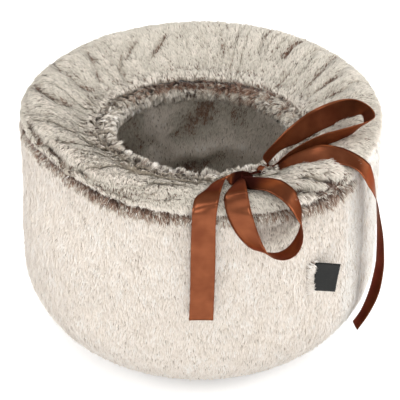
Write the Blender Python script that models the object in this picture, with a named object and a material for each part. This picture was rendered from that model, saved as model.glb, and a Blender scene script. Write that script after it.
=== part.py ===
# Round cat bed with a gathered collar, a satin drawstring tied in a bow, and a loose cushion.
# Metres, +Z up. The origin is the middle of the flat base, and -Y is the front.

import bmesh
import bpy
from math import atan2, cos, degrees, exp, hypot, pi, radians, sin, sqrt
from mathutils import Matrix, Vector

# Drum
wall_radius = 0.1995
rim_radius = 0.1970
seam_height = 0.2535
corner_reach = 0.0800
corner_height = 0.0900
floor_lift = 0.0008
wall_foam_thickness = 0.0375
base_foam_thickness = 0.0250
base_cloth_thickness = 0.0040
skin_thickness = 0.0040
lining_thickness = 0.0050

# Collar
crown_rise = 0.0145
crown_reach = 0.0210
wall_foam_drop = 0.0155
wadding_reach = 0.0570
mouth_radius = 0.0995
casing_depth = 0.0160
casing_height = 0.0170
collar_end_drop = 0.0200
casing_ribbon_width = 0.0080
casing_ribbon_thickness = 0.0020
casing_opening_degrees = 7.0
casing_pleat_share = 0.5

# How the soft cloth settles
back_rise = 0.0095
front_left_pull = 0.0150
front_right_sag = 0.0080
pleat_depth = 0.0038
pleat_count = 18

# Loose cushion
cushion_radius = 0.1480
cushion_edge_height = 0.0240
cushion_crown = 0.0240
cushion_panel_thickness = 0.0030

# Satin ribbon
ribbon_width = 0.0250
ribbon_thickness = 0.0006
knot_width = 0.0105
knot_depth = 0.0085
knot_height = 0.0082
knot_angle = -56.0
left_tail_drop = 0.1270
right_tail_drop = 0.2090
left_tail_turn = -89.0
right_tail_turn = -33.5

# Side label
label_width = 0.0235
label_height = 0.0340
label_thickness = 0.0012
label_foot = 0.1305
label_angle = -54.0
label_turn = 36.0

# Clearances
touch = 0.0003
layer_gap = 0.0007
hinge_gap = 0.0009

# Mesh fineness
plain_steps = 36
pleated_steps = 72
ribbon_steps = 4

crown_radius = rim_radius - crown_reach
crown_height = seam_height + crown_rise
collar_end_radius = mouth_radius + casing_depth
collar_end_height = seam_height - collar_end_drop
casing_middle = collar_end_height - 0.5 * casing_height
corner_centre = wall_radius - corner_reach
wall_inside = skin_thickness + layer_gap
base_foam_bottom = base_cloth_thickness + layer_gap
base_foam_top = base_foam_bottom + base_foam_thickness
wall_foam_top = seam_height - wall_foam_drop
wall_middle = 0.5 * (corner_height + wall_foam_top)
foam_inner_radius = wall_radius - wall_inside - wall_foam_thickness
lining_outer_radius = foam_inner_radius - layer_gap
lining_inner_radius = lining_outer_radius - lining_thickness
floor_top = base_foam_top + touch + lining_thickness
cushion_floor = floor_top + touch

# Ribbon stations. Each is an angle round the bed, a share of the way from the mouth to the rim,
# a rise over the collar in ribbon widths, the direction of the ribbon's width as shares
# (along the rim, outward, up), and a share of the full width.
left_tail_top_shares = [
    (-64.0, 0.25, 0.14, (0.30, 0.95, 0.00), 0.45),
    (-69.0, 0.37, 0.20, (0.55, 0.75, 0.00), 0.75),
    (-75.0, 0.53, 0.22, (0.70, 0.65, 0.00), 0.95),
    (-80.5, 0.70, 0.24, (0.80, 0.60, 0.00), 1.00),
    (-85.5, 0.84, 0.28, (0.85, 0.50, 0.00), 1.00),
    (-88.2, 0.97, 0.38, (0.95, 0.20, 0.00), 1.00),
]
front_loop_shares = [
    (-62.0, 0.33, 0.56, (-0.70, -0.70, 0.00), 0.40),
    (-68.0, 0.45, 0.64, (-0.70, -0.70, 0.00), 0.70),
    (-73.5, 0.60, 0.62, (-0.80, -0.60, 0.00), 0.95),
    (-77.3, 0.78, 0.56, (-0.95, -0.30, 0.00), 1.00),
    (-79.0, 0.95, 0.50, (-1.00, 0.00, 0.00), 1.00),
    (-79.3, 1.05, 0.25, (-1.00, 0.00, 0.00), 1.00),
    (-79.0, 1.10, -0.25, (-1.00, 0.00, 0.00), 1.00),
    (-77.3, 1.13, -1.00, (-1.00, -0.25, 0.00), 1.00),
    (-75.0, 1.17, -1.50, (-0.75, -0.70, 0.00), 1.00),
    (-72.5, 1.21, -1.74, (-0.25, -1.00, 0.00), 1.00),
    (-69.7, 1.23, -1.80, (0.10, -1.00, 0.00), 1.00),
    (-66.6, 1.23, -1.74, (0.30, -1.00, 0.00), 1.00),
    (-64.0, 1.21, -1.52, (0.45, -0.90, 0.00), 1.00),
    (-62.3, 1.18, -1.14, (0.70, -0.80, 0.00), 1.00),
    (-62.0, 1.13, -0.55, (0.95, -0.40, 0.00), 1.00),
    (-62.8, 1.08, -0.05, (1.00, -0.10, 0.00), 1.00),
    (-64.0, 1.00, 0.36, (1.00, 0.00, 0.00), 1.00),
    (-64.6, 0.82, 0.44, (1.00, 0.20, 0.00), 1.00),
    (-62.3, 0.58, 0.40, (0.80, 0.50, 0.00), 0.85),
    (-58.0, 0.38, 0.36, (0.90, 0.30, 0.00), 0.50),
]
upper_loop_shares = [
    (-48.0, 0.12, 0.56, (0.00, 0.55, 0.85), 0.45),
    (-36.0, 0.08, 0.78, (0.20, -0.20, 0.90), 0.85),
    (-20.0, 0.14, 0.85, (0.40, -0.15, 0.90), 1.00),
    (-11.0, 0.34, 0.78, (0.40, -0.10, 0.90), 1.00),
    (-9.5, 0.55, 0.68, (0.30, -0.05, 0.90), 1.00),
    (-11.2, 0.75, 0.64, (0.15, 0.10, 1.00), 1.00),
    (-14.8, 0.87, 0.68, (0.00, 0.15, 1.00), 1.00),
    (-19.0, 0.87, 0.66, (0.00, 0.10, 1.00), 1.00),
    (-23.2, 0.76, 0.68, (0.15, 0.05, 1.00), 1.00),
    (-28.5, 0.62, 0.76, (0.20, 0.00, 1.00), 1.00),
    (-36.0, 0.43, 0.86, (0.20, 0.00, 1.00), 0.90),
    (-44.0, 0.28, 0.66, (0.10, 0.35, 0.90), 0.55),
]
right_tail_top_shares = [
    (-49.5, 0.28, 0.18, (-0.30, 1.00, 0.00), 0.45),
    (-45.0, 0.42, 0.30, (-0.60, 0.80, 0.00), 0.70),
    (-41.5, 0.56, 0.36, (-0.75, 0.65, 0.00), 0.90),
    (-38.0, 0.70, 0.36, (-0.85, 0.50, 0.00), 1.00),
    (-35.8, 0.84, 0.38, (-1.00, 0.30, 0.00), 1.00),
    (-34.3, 0.98, 0.40, (-1.00, 0.00, 0.00), 1.00),
]

# Hanging ends: an angle, a stand-off from the rim in ribbon widths, a share of the tail's drop,
# and the width's direction as above.
left_tail_end_shares = [
    (-89.1, 0.37, 0.15, (1.00, 0.00, 0.00)),
    (-89.3, 0.42, 0.45, (1.00, 0.02, 0.00)),
    (-89.4, 0.42, 0.75, (1.00, 0.00, 0.00)),
    (-89.4, 0.42, 1.00, (1.00, 0.00, 0.00)),
]
right_tail_end_shares = [
    (-32.4, 0.35, 0.07, (1.00, -0.15, 0.00)),
    (-30.4, 0.44, 0.14, (0.95, -0.35, 0.00)),
    (-27.8, 0.56, 0.24, (0.90, -0.48, 0.00)),
    (-27.1, 0.73, 0.39, (0.95, -0.35, 0.00)),
    (-26.7, 0.84, 0.51, (0.97, -0.22, 0.00)),
    (-26.6, 0.85, 0.64, (1.00, -0.10, 0.00)),
    (-27.4, 0.63, 0.77, (1.00, 0.00, 0.00)),
    (-28.6, 0.32, 0.90, (1.00, 0.05, 0.00)),
    (-29.5, 0.10, 1.00, (1.00, 0.05, 0.00)),
]


def clear_scene():
    for item in list(bpy.data.objects):
        bpy.data.objects.remove(item, do_unlink=True)


def make_material(name, colour, roughness):
    made = bpy.data.materials.new(name)
    made.use_nodes = True
    shader = made.node_tree.nodes["Principled BSDF"]
    shader.inputs["Base Color"].default_value = (*colour, 1.0)
    shader.inputs["Roughness"].default_value = roughness
    shader.inputs["Metallic"].default_value = 0.0
    made.diffuse_color = (*colour, 1.0)
    return made


def add_object(name, mesh, finish, origin=(0.0, 0.0, 0.0)):
    # The mesh comes in world places, and the object stands at its origin
    mesh.transform(Matrix.Translation(-Vector(origin)))
    made = bpy.data.objects.new(name, mesh)
    made.location = origin
    bpy.context.scene.collection.objects.link(made)
    mesh.materials.append(finish)
    mesh.shade_smooth()
    mesh.set_sharp_from_angle(angle=radians(50.0))
    return made


def ease(value, low, high):
    # 0 below low, 1 above high, and a smooth rise between them
    share = min(max((value - low) / (high - low), 0.0), 1.0)
    return share * share * (3.0 - 2.0 * share)


def bell(angle, middle, spread):
    # 1 at the middle angle, falling away to each side, all in degrees
    away = (angle - middle + 180.0) % 360.0 - 180.0
    return exp(-((away / spread) ** 2))


def settled(x, y, z, pleats=1.0):
    # Where a point of the neatly turned bed comes to lie in the soft one
    radius = hypot(x, y)
    if radius == 0.0:
        return Vector((x, y, z))
    turn = degrees(atan2(y, x))
    upper = ease(z, 0.5 * seam_height, 0.9 * seam_height)
    inward = (rim_radius - radius) / (rim_radius - collar_end_radius)
    inward = min(max(inward, 0.0), 1.0)
    crown = exp(-(((radius - crown_radius) / (1.4 * crown_reach)) ** 2))
    pull = front_left_pull * bell(turn, -140.0, 27.0) * upper * (radius / rim_radius) ** 2
    wave = cos(pleat_count * radians(turn) + 0.9 * sin(radians(3.0 * turn)))
    uneven = 0.8 + 0.3 * sin(radians(5.0 * turn) + 1.0)
    rise = back_rise * sin(radians(turn)) * crown
    rise -= front_right_sag * bell(turn, -48.0, 30.0) * (1.0 - 0.6 * inward)
    calm = 1.0 - bell(turn, knot_angle, 10.0)
    rise += pleats * pleat_depth * wave * uneven * calm * ease(inward, 0.5, 1.0)
    scale = (radius - pull) / radius
    return Vector((x * scale, y * scale, z + rise * upper))


def split_alike(shape):
    # Each quad's diagonal runs from its low end on one side to its high end on the other, so that
    # the facets of nested pieces lie alike
    def level(point):
        return point.co.z + 0.3 * point.co.xy.length

    for face in [face for face in shape.faces if len(face.verts) == 4]:
        middle = face.calc_center_median()
        sides = ([], [])
        for point in face.verts:
            sides[middle.x * point.co.y > middle.y * point.co.x].append(point)
        if len(sides[0]) == 2:
            bmesh.utils.face_split(face, min(sides[0], key=level), max(sides[1], key=level))


def turned(name, profile, steps, finish, sweep=360.0, start=0.0, pleats=1.0, origin=(0.0, 0.0, 0.0)):
    # Spins a closed outline of (radius, height) points round Z. Points on the axis close into a pole.
    shape = bmesh.new()
    first = [shape.verts.new((radius, 0.0, height)) for radius, height in profile]
    loop = [shape.edges.new((first[i - 1], first[i])) for i in range(len(first))]
    whole = sweep >= 360.0
    made = bmesh.ops.spin(
        shape,
        geom=first + loop,
        cent=(0.0, 0.0, 0.0),
        axis=(0.0, 0.0, 1.0),
        angle=radians(sweep),
        steps=steps,
        use_merge=whole,
    )
    if not whole:
        last = [item for item in made["geom_last"] if isinstance(item, bmesh.types.BMEdge)]
        bmesh.ops.contextual_create(shape, geom=loop)
        bmesh.ops.contextual_create(shape, geom=last)
    bmesh.ops.remove_doubles(shape, verts=shape.verts, dist=0.1 * touch)
    stray = [edge for edge in shape.edges if not edge.link_faces]
    bmesh.ops.delete(shape, geom=stray, context="EDGES")
    bmesh.ops.rotate(shape, verts=shape.verts, matrix=Matrix.Rotation(radians(start), 3, "Z"))
    split_alike(shape)
    for point in shape.verts:
        point.co = settled(*point.co, pleats=pleats)
    bmesh.ops.recalc_face_normals(shape, faces=shape.faces)
    mesh = bpy.data.meshes.new(name)
    shape.to_mesh(mesh)
    shape.free()
    return add_object(name, mesh, finish, origin)


def wall_point(inset, height):
    # A point of the drum's outer curve, drawn in by inset
    if height < corner_height:
        rise = (corner_height - height) / (corner_height - inset)
        return corner_centre + (corner_reach - inset) * sqrt(max(1.0 - rise * rise, 0.0)), height
    share = (height - corner_height) / (seam_height - corner_height)
    return wall_radius - inset + (rim_radius - wall_radius) * share, height


def wall_line(inset, low, angles, tops):
    # Points up the drum's outer curve: the lowest, those at angles round the corner, and the tops
    heights = [low]
    heights += [corner_height * (1.0 - cos(radians(angle))) for angle in angles]
    return [wall_point(inset, height) for height in heights + tops]


def foam_heights(low_shares):
    # The base foam's rings, which the cover's inner side shares so that the facets nest
    return [base_foam_bottom + base_foam_thickness * share for share in low_shares]


def collar_height(radius):
    # The neat collar's upper surface
    if radius >= crown_radius:
        out = min((radius - crown_radius) / crown_reach, 1.0)
        return seam_height + crown_rise * sqrt(1.0 - out * out)
    share = (radius - collar_end_radius) / (crown_radius - collar_end_radius)
    share = min(max(share, 0.0), 1.0)
    fall = 0.5 * sin(0.5 * pi * share) + 0.5 * ease(share, 0.0, 1.0)
    return collar_end_height + (crown_height - collar_end_height) * fall


def inset_line(points, depth):
    # The line moved to its left-hand side by depth
    moved = []
    for i, (across, height) in enumerate(points):
        before = points[max(i - 1, 0)]
        after = points[min(i + 1, len(points) - 1)]
        run = (after[0] - before[0], after[1] - before[1])
        length = hypot(*run)
        moved.append((across - depth * run[1] / length, height + depth * run[0] / length))
    return moved


def collar_line():
    # The collar's upper line, from the seam over the crown to the casing
    angles = (0.0, 30.0, 60.0, 90.0)
    radii = [crown_radius + crown_reach * cos(radians(angle)) for angle in angles]
    inner_shares = (0.72, 0.47, 0.23, 0.0)
    radii += [collar_end_radius + (crown_radius - collar_end_radius) * share for share in inner_shares]
    return [(radius, collar_height(radius)) for radius in radii]


def lining_line():
    # The collar lining's upper line, from the wall lining to the casing
    top = wall_foam_top + layer_gap + skin_thickness
    end = collar_end_height - casing_height + skin_thickness
    middle_share = 0.45
    middle_radius = collar_end_radius + (lining_inner_radius - collar_end_radius) * middle_share
    middle_height = end + (top - end) * middle_share
    return [
        (lining_outer_radius, top),
        (lining_inner_radius, top),
        (middle_radius, middle_height),
        (collar_end_radius + touch, end),
    ]


def make_drum(fur, cloth, foam, plush):
    # Neighbours share their rings, so that their facets nest
    seam = seam_height - layer_gap
    outer = wall_line(0.0, floor_lift, (25.0, 42.0, 58.0, 74.0, 90.0), [wall_middle, seam])
    wall_angles = (52.0, 64.0, 76.0, 90.0)
    inner = [wall_point(skin_thickness, floor_lift + skin_thickness)]
    inner += [wall_point(skin_thickness, height) for height in foam_heights((0.18, 0.5))]
    inner += wall_line(skin_thickness, base_foam_top, wall_angles, [wall_middle, wall_foam_top, seam])
    turned("outer_wall_cover", outer + inner[::-1], plain_steps, fur)

    cloth_radius = outer[0][0] - layer_gap
    base = [
        (0.0, 0.0),
        (cloth_radius, 0.0),
        (cloth_radius, base_cloth_thickness),
        (0.0, base_cloth_thickness),
    ]
    turned("base_cloth", base, plain_steps, cloth)

    side = [wall_point(wall_inside, height) for height in foam_heights((0.0, 0.04, 0.18, 0.5, 1.0))]
    turned("base_foam", [(0.0, base_foam_bottom)] + side + [(0.0, base_foam_top)], plain_steps, foam)

    bottom = base_foam_top + touch
    side = wall_line(wall_inside, bottom, wall_angles, [wall_middle, wall_foam_top])
    side += [(foam_inner_radius, height) for height in (wall_foam_top, wall_middle, corner_height, bottom)]
    turned("wall_foam", side, plain_steps, foam)

    rings = (floor_top + touch, corner_height, wall_middle, wall_foam_top)
    sleeve = [(lining_outer_radius, height) for height in rings]
    sleeve += [(lining_inner_radius, height) for height in rings[::-1]]
    turned("inner_wall_lining", sleeve, plain_steps, plush)
    floor = [
        (0.0, base_foam_top + touch),
        (lining_outer_radius, base_foam_top + touch),
        (lining_outer_radius, floor_top),
        (0.0, floor_top),
    ]
    turned("floor_lining", floor, plain_steps, plush)


def make_collar(fur, plush, wadding, ribbon):
    top = collar_line()
    under = inset_line(top, skin_thickness)
    under[0] = (rim_radius - skin_thickness, seam_height)
    cover = top + [under[i] for i in (7, 5, 3, 2, 0)]
    turned("collar_cover", cover, pleated_steps, fur)

    upper = lining_line()
    lower = [(radius, height - skin_thickness) for radius, height in upper]
    turned("collar_lining", upper + lower[::-1], pleated_steps, plush)

    stuffed = inset_line(top, wall_inside + 2.0 * layer_gap)
    inner_radius = rim_radius - wadding_reach - crown_reach
    tip_share = (inner_radius - collar_end_radius) / (lining_inner_radius - collar_end_radius)
    tip_low = upper[3][1] + (upper[1][1] - upper[3][1]) * tip_share + 3.0 * layer_gap
    slope_share = (stuffed[5][0] - inner_radius) / (stuffed[5][0] - stuffed[7][0])
    tip_high = stuffed[5][1] + (stuffed[7][1] - stuffed[5][1]) * slope_share - 2.0 * layer_gap
    foot = wall_foam_top + layer_gap
    ring = [
        (stuffed[0][0], foot),
        stuffed[0],
        stuffed[2],
        stuffed[3],
        stuffed[5],
        (inner_radius, tip_high),
        (inner_radius, tip_low),
        (upper[2][0], upper[2][1] + 2.0 * layer_gap),
        (lining_inner_radius, upper[1][1] + 2.0 * layer_gap),
        (foam_inner_radius, upper[1][1] + 2.0 * layer_gap),
        (foam_inner_radius, foot),
    ]
    turned("collar_wadding", ring, pleated_steps, wadding)

    half = 0.5 * casing_height
    outside_shares = [(0.0, 1.0), (0.44, 0.86), (0.81, 0.47), (1.0, 0.0), (0.81, -0.47), (0.44, -0.86), (0.0, -1.0)]
    inside_shares = [(0.0, -1.0), (0.57, -0.73), (1.0, 0.0), (0.57, 0.73), (0.0, 1.0)]
    room = half - skin_thickness
    reach = casing_depth - 1.4 * skin_thickness
    edge = collar_end_radius - touch
    casing = [(edge - casing_depth * a, casing_middle + half * b) for a, b in outside_shares]
    casing += [(edge - reach * a, casing_middle + room * b) for a, b in inside_shares]
    sweep = 360.0 - casing_opening_degrees
    start = knot_angle + 0.5 * casing_opening_degrees
    turned("drawstring_casing", casing, pleated_steps - 2, fur, sweep, start, casing_pleat_share)

    ring_outside = collar_end_radius + 2.0 * touch
    ring_inside = ring_outside - casing_ribbon_width
    low = casing_middle - 0.5 * casing_ribbon_thickness
    high = casing_middle + 0.5 * casing_ribbon_thickness
    band = [(ring_outside, low), (ring_outside, high), (ring_inside, high), (ring_inside, low)]
    narrow = 0.4 * casing_opening_degrees
    start = knot_angle + 0.5 * narrow
    turned("ribbon_in_casing", band, pleated_steps, ribbon, 360.0 - narrow, start, casing_pleat_share)


def make_cushion(plush, wadding):
    middle = cushion_floor + 0.5 * cushion_edge_height
    across_shares = (0.0, 0.3, 0.55, 0.75, 0.9, 0.98, 1.0)
    crown = cushion_crown + 0.5 * cushion_edge_height

    def upper(share, inset):
        bulge = (1.0 - share**2.6) ** 0.55
        return ((cushion_radius - inset) * share, middle + (crown - inset) * bulge)

    def lower(share, inset):
        bulge = (1.0 - share**7.0) ** 0.5
        return ((cushion_radius - inset) * share, middle - (0.5 * cushion_edge_height - inset) * bulge)

    seat = (0.0, 0.0, cushion_floor)
    panel = cushion_panel_thickness
    few_shares = (0.0, 0.4, 0.7, 0.9, 0.97, 1.0)
    top = [upper(share, 0.0) for share in across_shares] + [upper(share, panel) for share in few_shares[::-1]]
    top = [(radius, height + 0.5 * touch) for radius, height in top]
    turned("cushion_top_panel", top, plain_steps, plush, origin=seat)
    bottom = [lower(share, 0.0) for share in across_shares] + [lower(share, panel) for share in few_shares[::-1]]
    bottom = [(radius, height - 0.5 * touch) for radius, height in bottom]
    turned("cushion_bottom_panel", bottom[::-1], plain_steps, plush, origin=seat)
    inset = panel + layer_gap
    filling = [lower(share, inset) for share in few_shares[:-1]]
    filling += [upper(share, inset) for share in few_shares[-2::-1]]
    turned("cushion_filling", filling, plain_steps, wadding, origin=seat)


def frame_at(angle):
    # Directions along the rim, outward and up at an angle round the bed
    turn = radians(angle)
    return Vector((-sin(turn), cos(turn), 0.0)), Vector((cos(turn), sin(turn), 0.0)), Vector((0.0, 0.0, 1.0))


def width_direction(angle, shares, place=1.0):
    # On the collar, outward follows its slope and up stands off it
    along, out, up = frame_at(angle)
    if place < 1.0:
        radius = mouth_radius + max(place, 0.2) * (rim_radius - mouth_radius)
        slope = (collar_height(radius + touch) - collar_height(radius - touch)) / (2.0 * touch)
        out = (out + up * slope).normalized()
        up = along.cross(-out)
    return (along * shares[0] + out * shares[1] + up * shares[2]).normalized()


def collar_spot(angle, place, lift):
    # A point over the settled collar, or beside the wall where place is over 1
    out = frame_at(angle)[1]
    radius = mouth_radius + place * (rim_radius - mouth_radius)
    inner = max(radius, mouth_radius)
    at = settled(*(out * inner + Vector((0.0, 0.0, collar_height(inner)))), pleats=0.0)
    surface = at.z if radius < rim_radius else seam_height
    return out * radius + Vector((0.0, 0.0, surface + lift * ribbon_width))


def collar_stations(rows):
    found = []
    for angle, place, lift, shares, share in rows:
        found.append((collar_spot(angle, place, lift), width_direction(angle, shares, place), share))
    return found


def hanging_stations(rows, hinge, drop):
    found = []
    for angle, stand_off, fall, shares in rows:
        spot = frame_at(angle)[1] * (rim_radius + stand_off * ribbon_width)
        spot.z = hinge.z - fall * drop
        found.append((spot, width_direction(angle, shares), 1.0))
    return found


def smooth_between(before, a, b, after, share):
    # A Catmull-Rom curve's point between a and b
    second = 2.0 * before - 5.0 * a + 4.0 * b - after
    third = 3.0 * a - before - 3.0 * b + after
    return 0.5 * (2.0 * a + (b - before) * share + second * share**2 + third * share**3)


def squared(stations):
    # The widths turned square to the run, except near the ends
    found = list(stations)
    for i in range(2, len(stations) - 2):
        run = (stations[i + 1][0] - stations[i - 1][0]).normalized()
        spot, across, width = stations[i]
        found[i] = (spot, (across - run * across.dot(run)).normalized(), width)
    return found


def smooth_stations(stations, steps):
    found = []
    last = len(stations) - 1
    for i in range(last):
        rows = [stations[max(i - 1, 0)], stations[i], stations[i + 1], stations[min(i + 2, last)]]
        for step in range(steps):
            share = step / steps
            spot = smooth_between(rows[0][0], rows[1][0], rows[2][0], rows[3][0], share)
            across = rows[1][1].lerp(rows[2][1], ease(share, 0.0, 1.0))
            width = rows[1][2] + (rows[2][2] - rows[1][2]) * share
            found.append((spot, across, width))
    return found + [stations[last]]


def make_strip(name, stations, finish, origin=(0.0, 0.0, 0.0), steps=ribbon_steps):
    # A flat ribbon: an edge drawn from station to station, then given its thickness
    path = smooth_stations(squared(stations), steps)
    shape = bmesh.new()
    edge = None
    for spot, across, width in path:
        side = across.normalized() * 0.5 * width * ribbon_width
        if edge is None:
            edge = shape.edges.new((shape.verts.new(spot - side), shape.verts.new(spot + side)))
            ends = list(edge.verts)
            continue
        drawn = bmesh.ops.extrude_edge_only(shape, edges=[edge])["geom"]
        edge = next(item for item in drawn if isinstance(item, bmesh.types.BMEdge))
        new_points = [item for item in drawn if isinstance(item, bmesh.types.BMVert)]
        new_points.sort(key=lambda point: (point.co - ends[0].co).length)
        new_points[0].co = spot - side
        new_points[1].co = spot + side
        ends = new_points
    bmesh.ops.recalc_face_normals(shape, faces=shape.faces)
    mesh = bpy.data.meshes.new(name)
    shape.to_mesh(mesh)
    shape.free()
    made = add_object(name, mesh, finish, origin)
    thickness = made.modifiers.new("thickness", "SOLIDIFY")
    thickness.thickness = ribbon_thickness
    thickness.offset = 0.0
    thickness.use_even_offset = False
    return made


def knot_middle():
    # The knot sits over the gap in the casing and just clear of the collar's end
    out = frame_at(knot_angle)[1]
    front = collar_end_radius + 0.45 * knot_depth
    under = settled(*(out * front + Vector((0.0, 0.0, collar_height(front)))))
    spot = out * (collar_end_radius - 0.05 * knot_depth)
    spot.z = under.z + 2.0 * touch + 0.5 * knot_height
    return spot


def make_knot(finish):
    # A tight rounded knot with two feet that stand on the ribbon's ends in the casing
    shape = bmesh.new()
    bmesh.ops.create_cube(shape, size=1.0)
    bmesh.ops.scale(shape, vec=(knot_width, knot_depth, knot_height), verts=shape.verts)
    cuts = [((0.28 * side * knot_width, 0.0, 0.0), (1.0, 0.0, 0.0)) for side in (-1.0, 1.0)]
    cuts.append(((0.0, 0.12 * knot_depth, 0.0), (0.0, 1.0, 0.0)))
    for spot, facing in cuts:
        everything = shape.verts[:] + shape.edges[:] + shape.faces[:]
        bmesh.ops.bisect_plane(shape, geom=everything, plane_co=spot, plane_no=facing)
    middle = knot_middle()
    out = frame_at(knot_angle)[1]
    ring_top = settled(*(out * middle.xy.length + Vector((0.0, 0.0, casing_middle))), 0.0).z
    ring_top += 0.5 * casing_ribbon_thickness
    foot_drop = middle.z - 0.5 * knot_height - ring_top - 2.0 * touch
    shape.normal_update()
    feet = []
    for face in shape.faces:
        at = face.calc_center_median()
        if face.normal.z < -0.5 and abs(at.x) > 0.28 * knot_width and at.y > 0.12 * knot_depth:
            feet.append(face)
    for foot in feet:
        drawn = bmesh.ops.extrude_face_region(shape, geom=[foot])["geom"]
        low = [item for item in drawn if isinstance(item, bmesh.types.BMVert)]
        bmesh.ops.translate(shape, verts=low, vec=(0.0, 0.0, -foot_drop))
    bmesh.ops.delete(shape, geom=feet, context="FACES_ONLY")
    bmesh.ops.recalc_face_normals(shape, faces=shape.faces)
    mesh = bpy.data.meshes.new("ribbon_knot")
    shape.to_mesh(mesh)
    shape.free()
    mesh.transform(Matrix.Translation(middle) @ Matrix.Rotation(radians(knot_angle + 90.0), 4, "Z"))
    made = add_object("ribbon_knot", mesh, finish, middle)
    rounding = made.modifiers.new("rounding", "BEVEL")
    rounding.width = 0.1 * knot_width
    rounding.segments = 2
    rounding.limit_method = "ANGLE"


def leaving(spot, heading, across, share):
    # Two stations by which a ribbon leaves a face squarely
    return [(spot, across, share), (spot + heading * 0.16 * ribbon_width, across, share)]


def make_bow(ribbon):
    make_knot(ribbon)
    knot = knot_middle()
    along, out, up = frame_at(knot_angle)
    level = 0.27 * knot_height
    loop_end_share = 0.16
    tail_end_share = 0.22

    front_hinge = knot + out * (0.5 * knot_depth + hinge_gap) + up * level
    apart = along * 0.27 * knot_width
    start = leaving(front_hinge - apart, out, -along, loop_end_share)
    end = leaving(front_hinge + apart, out, along, loop_end_share)
    stations = start + collar_stations(front_loop_shares) + end[::-1]
    make_strip("front_loop", stations, ribbon, front_hinge)

    upper_hinge = knot + along * (0.5 * knot_width + hinge_gap) + up * level
    apart = out * 0.27 * knot_depth
    start = leaving(upper_hinge - apart, along, out, 0.9 * loop_end_share)
    end = leaving(upper_hinge + apart, along, out, 0.9 * loop_end_share)
    stations = start + collar_stations(upper_loop_shares) + end[::-1]
    make_strip("upper_loop", stations, ribbon, upper_hinge)

    seat = 0.5 * knot_width + touch
    hang = 0.5 * hinge_gap * up
    across = width_direction(left_tail_turn, (1.0, 0.0, 0.0))
    left_hinge = collar_spot(left_tail_turn, 1.0, 0.04) + frame_at(left_tail_turn)[1] * 0.3 * ribbon_width
    start = leaving(knot - along * seat - up * level, -along, out, tail_end_share)
    end = leaving(left_hinge + hang, up, across, 1.0)
    make_strip("left_tail_top", start + collar_stations(left_tail_top_shares) + end[::-1], ribbon)
    start = leaving(left_hinge - hang, -up, across, 1.0)
    stations = start + hanging_stations(left_tail_end_shares, left_hinge, left_tail_drop)
    make_strip("left_tail_end", stations, ribbon, left_hinge)

    across = width_direction(right_tail_turn, (1.0, 0.0, 0.0))
    right_hinge = collar_spot(right_tail_turn, 1.0, -0.30) + frame_at(right_tail_turn)[1] * 0.3 * ribbon_width
    start = leaving(knot + along * seat - up * level, along, out, tail_end_share)
    end = leaving(right_hinge + hang, up, -across, 1.0)
    make_strip("right_tail_top", start + collar_stations(right_tail_top_shares) + end[::-1], ribbon)
    start = leaving(right_hinge - hang, -up, across, 1.0)
    stations = start + hanging_stations(right_tail_end_shares, right_hinge, right_tail_drop)
    make_strip("right_tail_end", stations, ribbon, right_hinge)
    for name, spot in (
        ("knot", knot),
        ("front_loop hinge", front_hinge),
        ("upper_loop hinge", upper_hinge),
        ("left_tail hinge", left_hinge),
        ("right_tail hinge", right_hinge),
    ):
        print(name, "at", tuple(round(value, 5) for value in spot))


def make_label(finish):
    # A folded tab, sewn by its left edge, that stands off the wall
    out = frame_at(label_angle)[1]
    middle_height = label_foot + 0.5 * label_height
    radius = wall_point(0.0, middle_height)[0] * cos(pi / plain_steps) + touch + 0.5 * label_thickness
    sewn = out * radius
    sewn.z = middle_height
    shape = bmesh.new()
    bmesh.ops.create_cube(shape, size=1.0)
    bmesh.ops.translate(shape, verts=shape.verts, vec=(0.5, 0.0, 0.0))
    bmesh.ops.scale(shape, vec=(label_width, label_thickness, label_height), verts=shape.verts)
    through = [e for e in shape.edges if abs(e.verts[0].co.y - e.verts[1].co.y) > 0.5 * label_thickness]
    far = [edge for edge in through if edge.verts[0].co.x > 0.5 * label_width]
    bmesh.ops.bevel(
        shape, geom=far, offset=0.08 * label_width, affect="EDGES", segments=3, profile=0.5, material=-1
    )
    mesh = bpy.data.meshes.new("side_label")
    shape.to_mesh(mesh)
    shape.free()
    heading = label_angle + 90.0 - label_turn
    mesh.transform(Matrix.Translation(sewn) @ Matrix.Rotation(radians(heading), 4, "Z"))
    add_object("side_label", mesh, finish, sewn)
    print("label hinge at", tuple(round(value, 5) for value in sewn))


def main():
    clear_scene()
    fur = make_material("cream plush", (0.80, 0.74, 0.66), 0.95)
    plush = make_material("grey plush lining", (0.20, 0.17, 0.14), 0.95)
    foam = make_material("upholstery foam", (0.85, 0.80, 0.62), 0.9)
    wadding = make_material("polyester wadding", (0.88, 0.88, 0.86), 0.95)
    cloth = make_material("woven base cloth", (0.35, 0.32, 0.29), 0.9)
    satin = make_material("copper satin ribbon", (0.30, 0.09, 0.035), 0.4)
    label = make_material("dark woven label", (0.03, 0.03, 0.028), 0.7)
    make_drum(fur, cloth, foam, plush)
    make_collar(fur, plush, wadding, satin)
    make_cushion(plush, wadding)
    make_bow(satin)
    make_label(label)


main()
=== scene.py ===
# Round plush cat bed with a gathered collar and a copper satin drawstring tied in a bow.
# Everything is in metres, +Z up, with the origin in the middle of the base and the front at -Y.

from itertools import product
from math import cos, pi, radians, sin

import bmesh
import bpy
import numpy as np
from mathutils import Matrix, Vector
from mathutils.bvhtree import BVHTree
from mathutils.kdtree import KDTree


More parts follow.
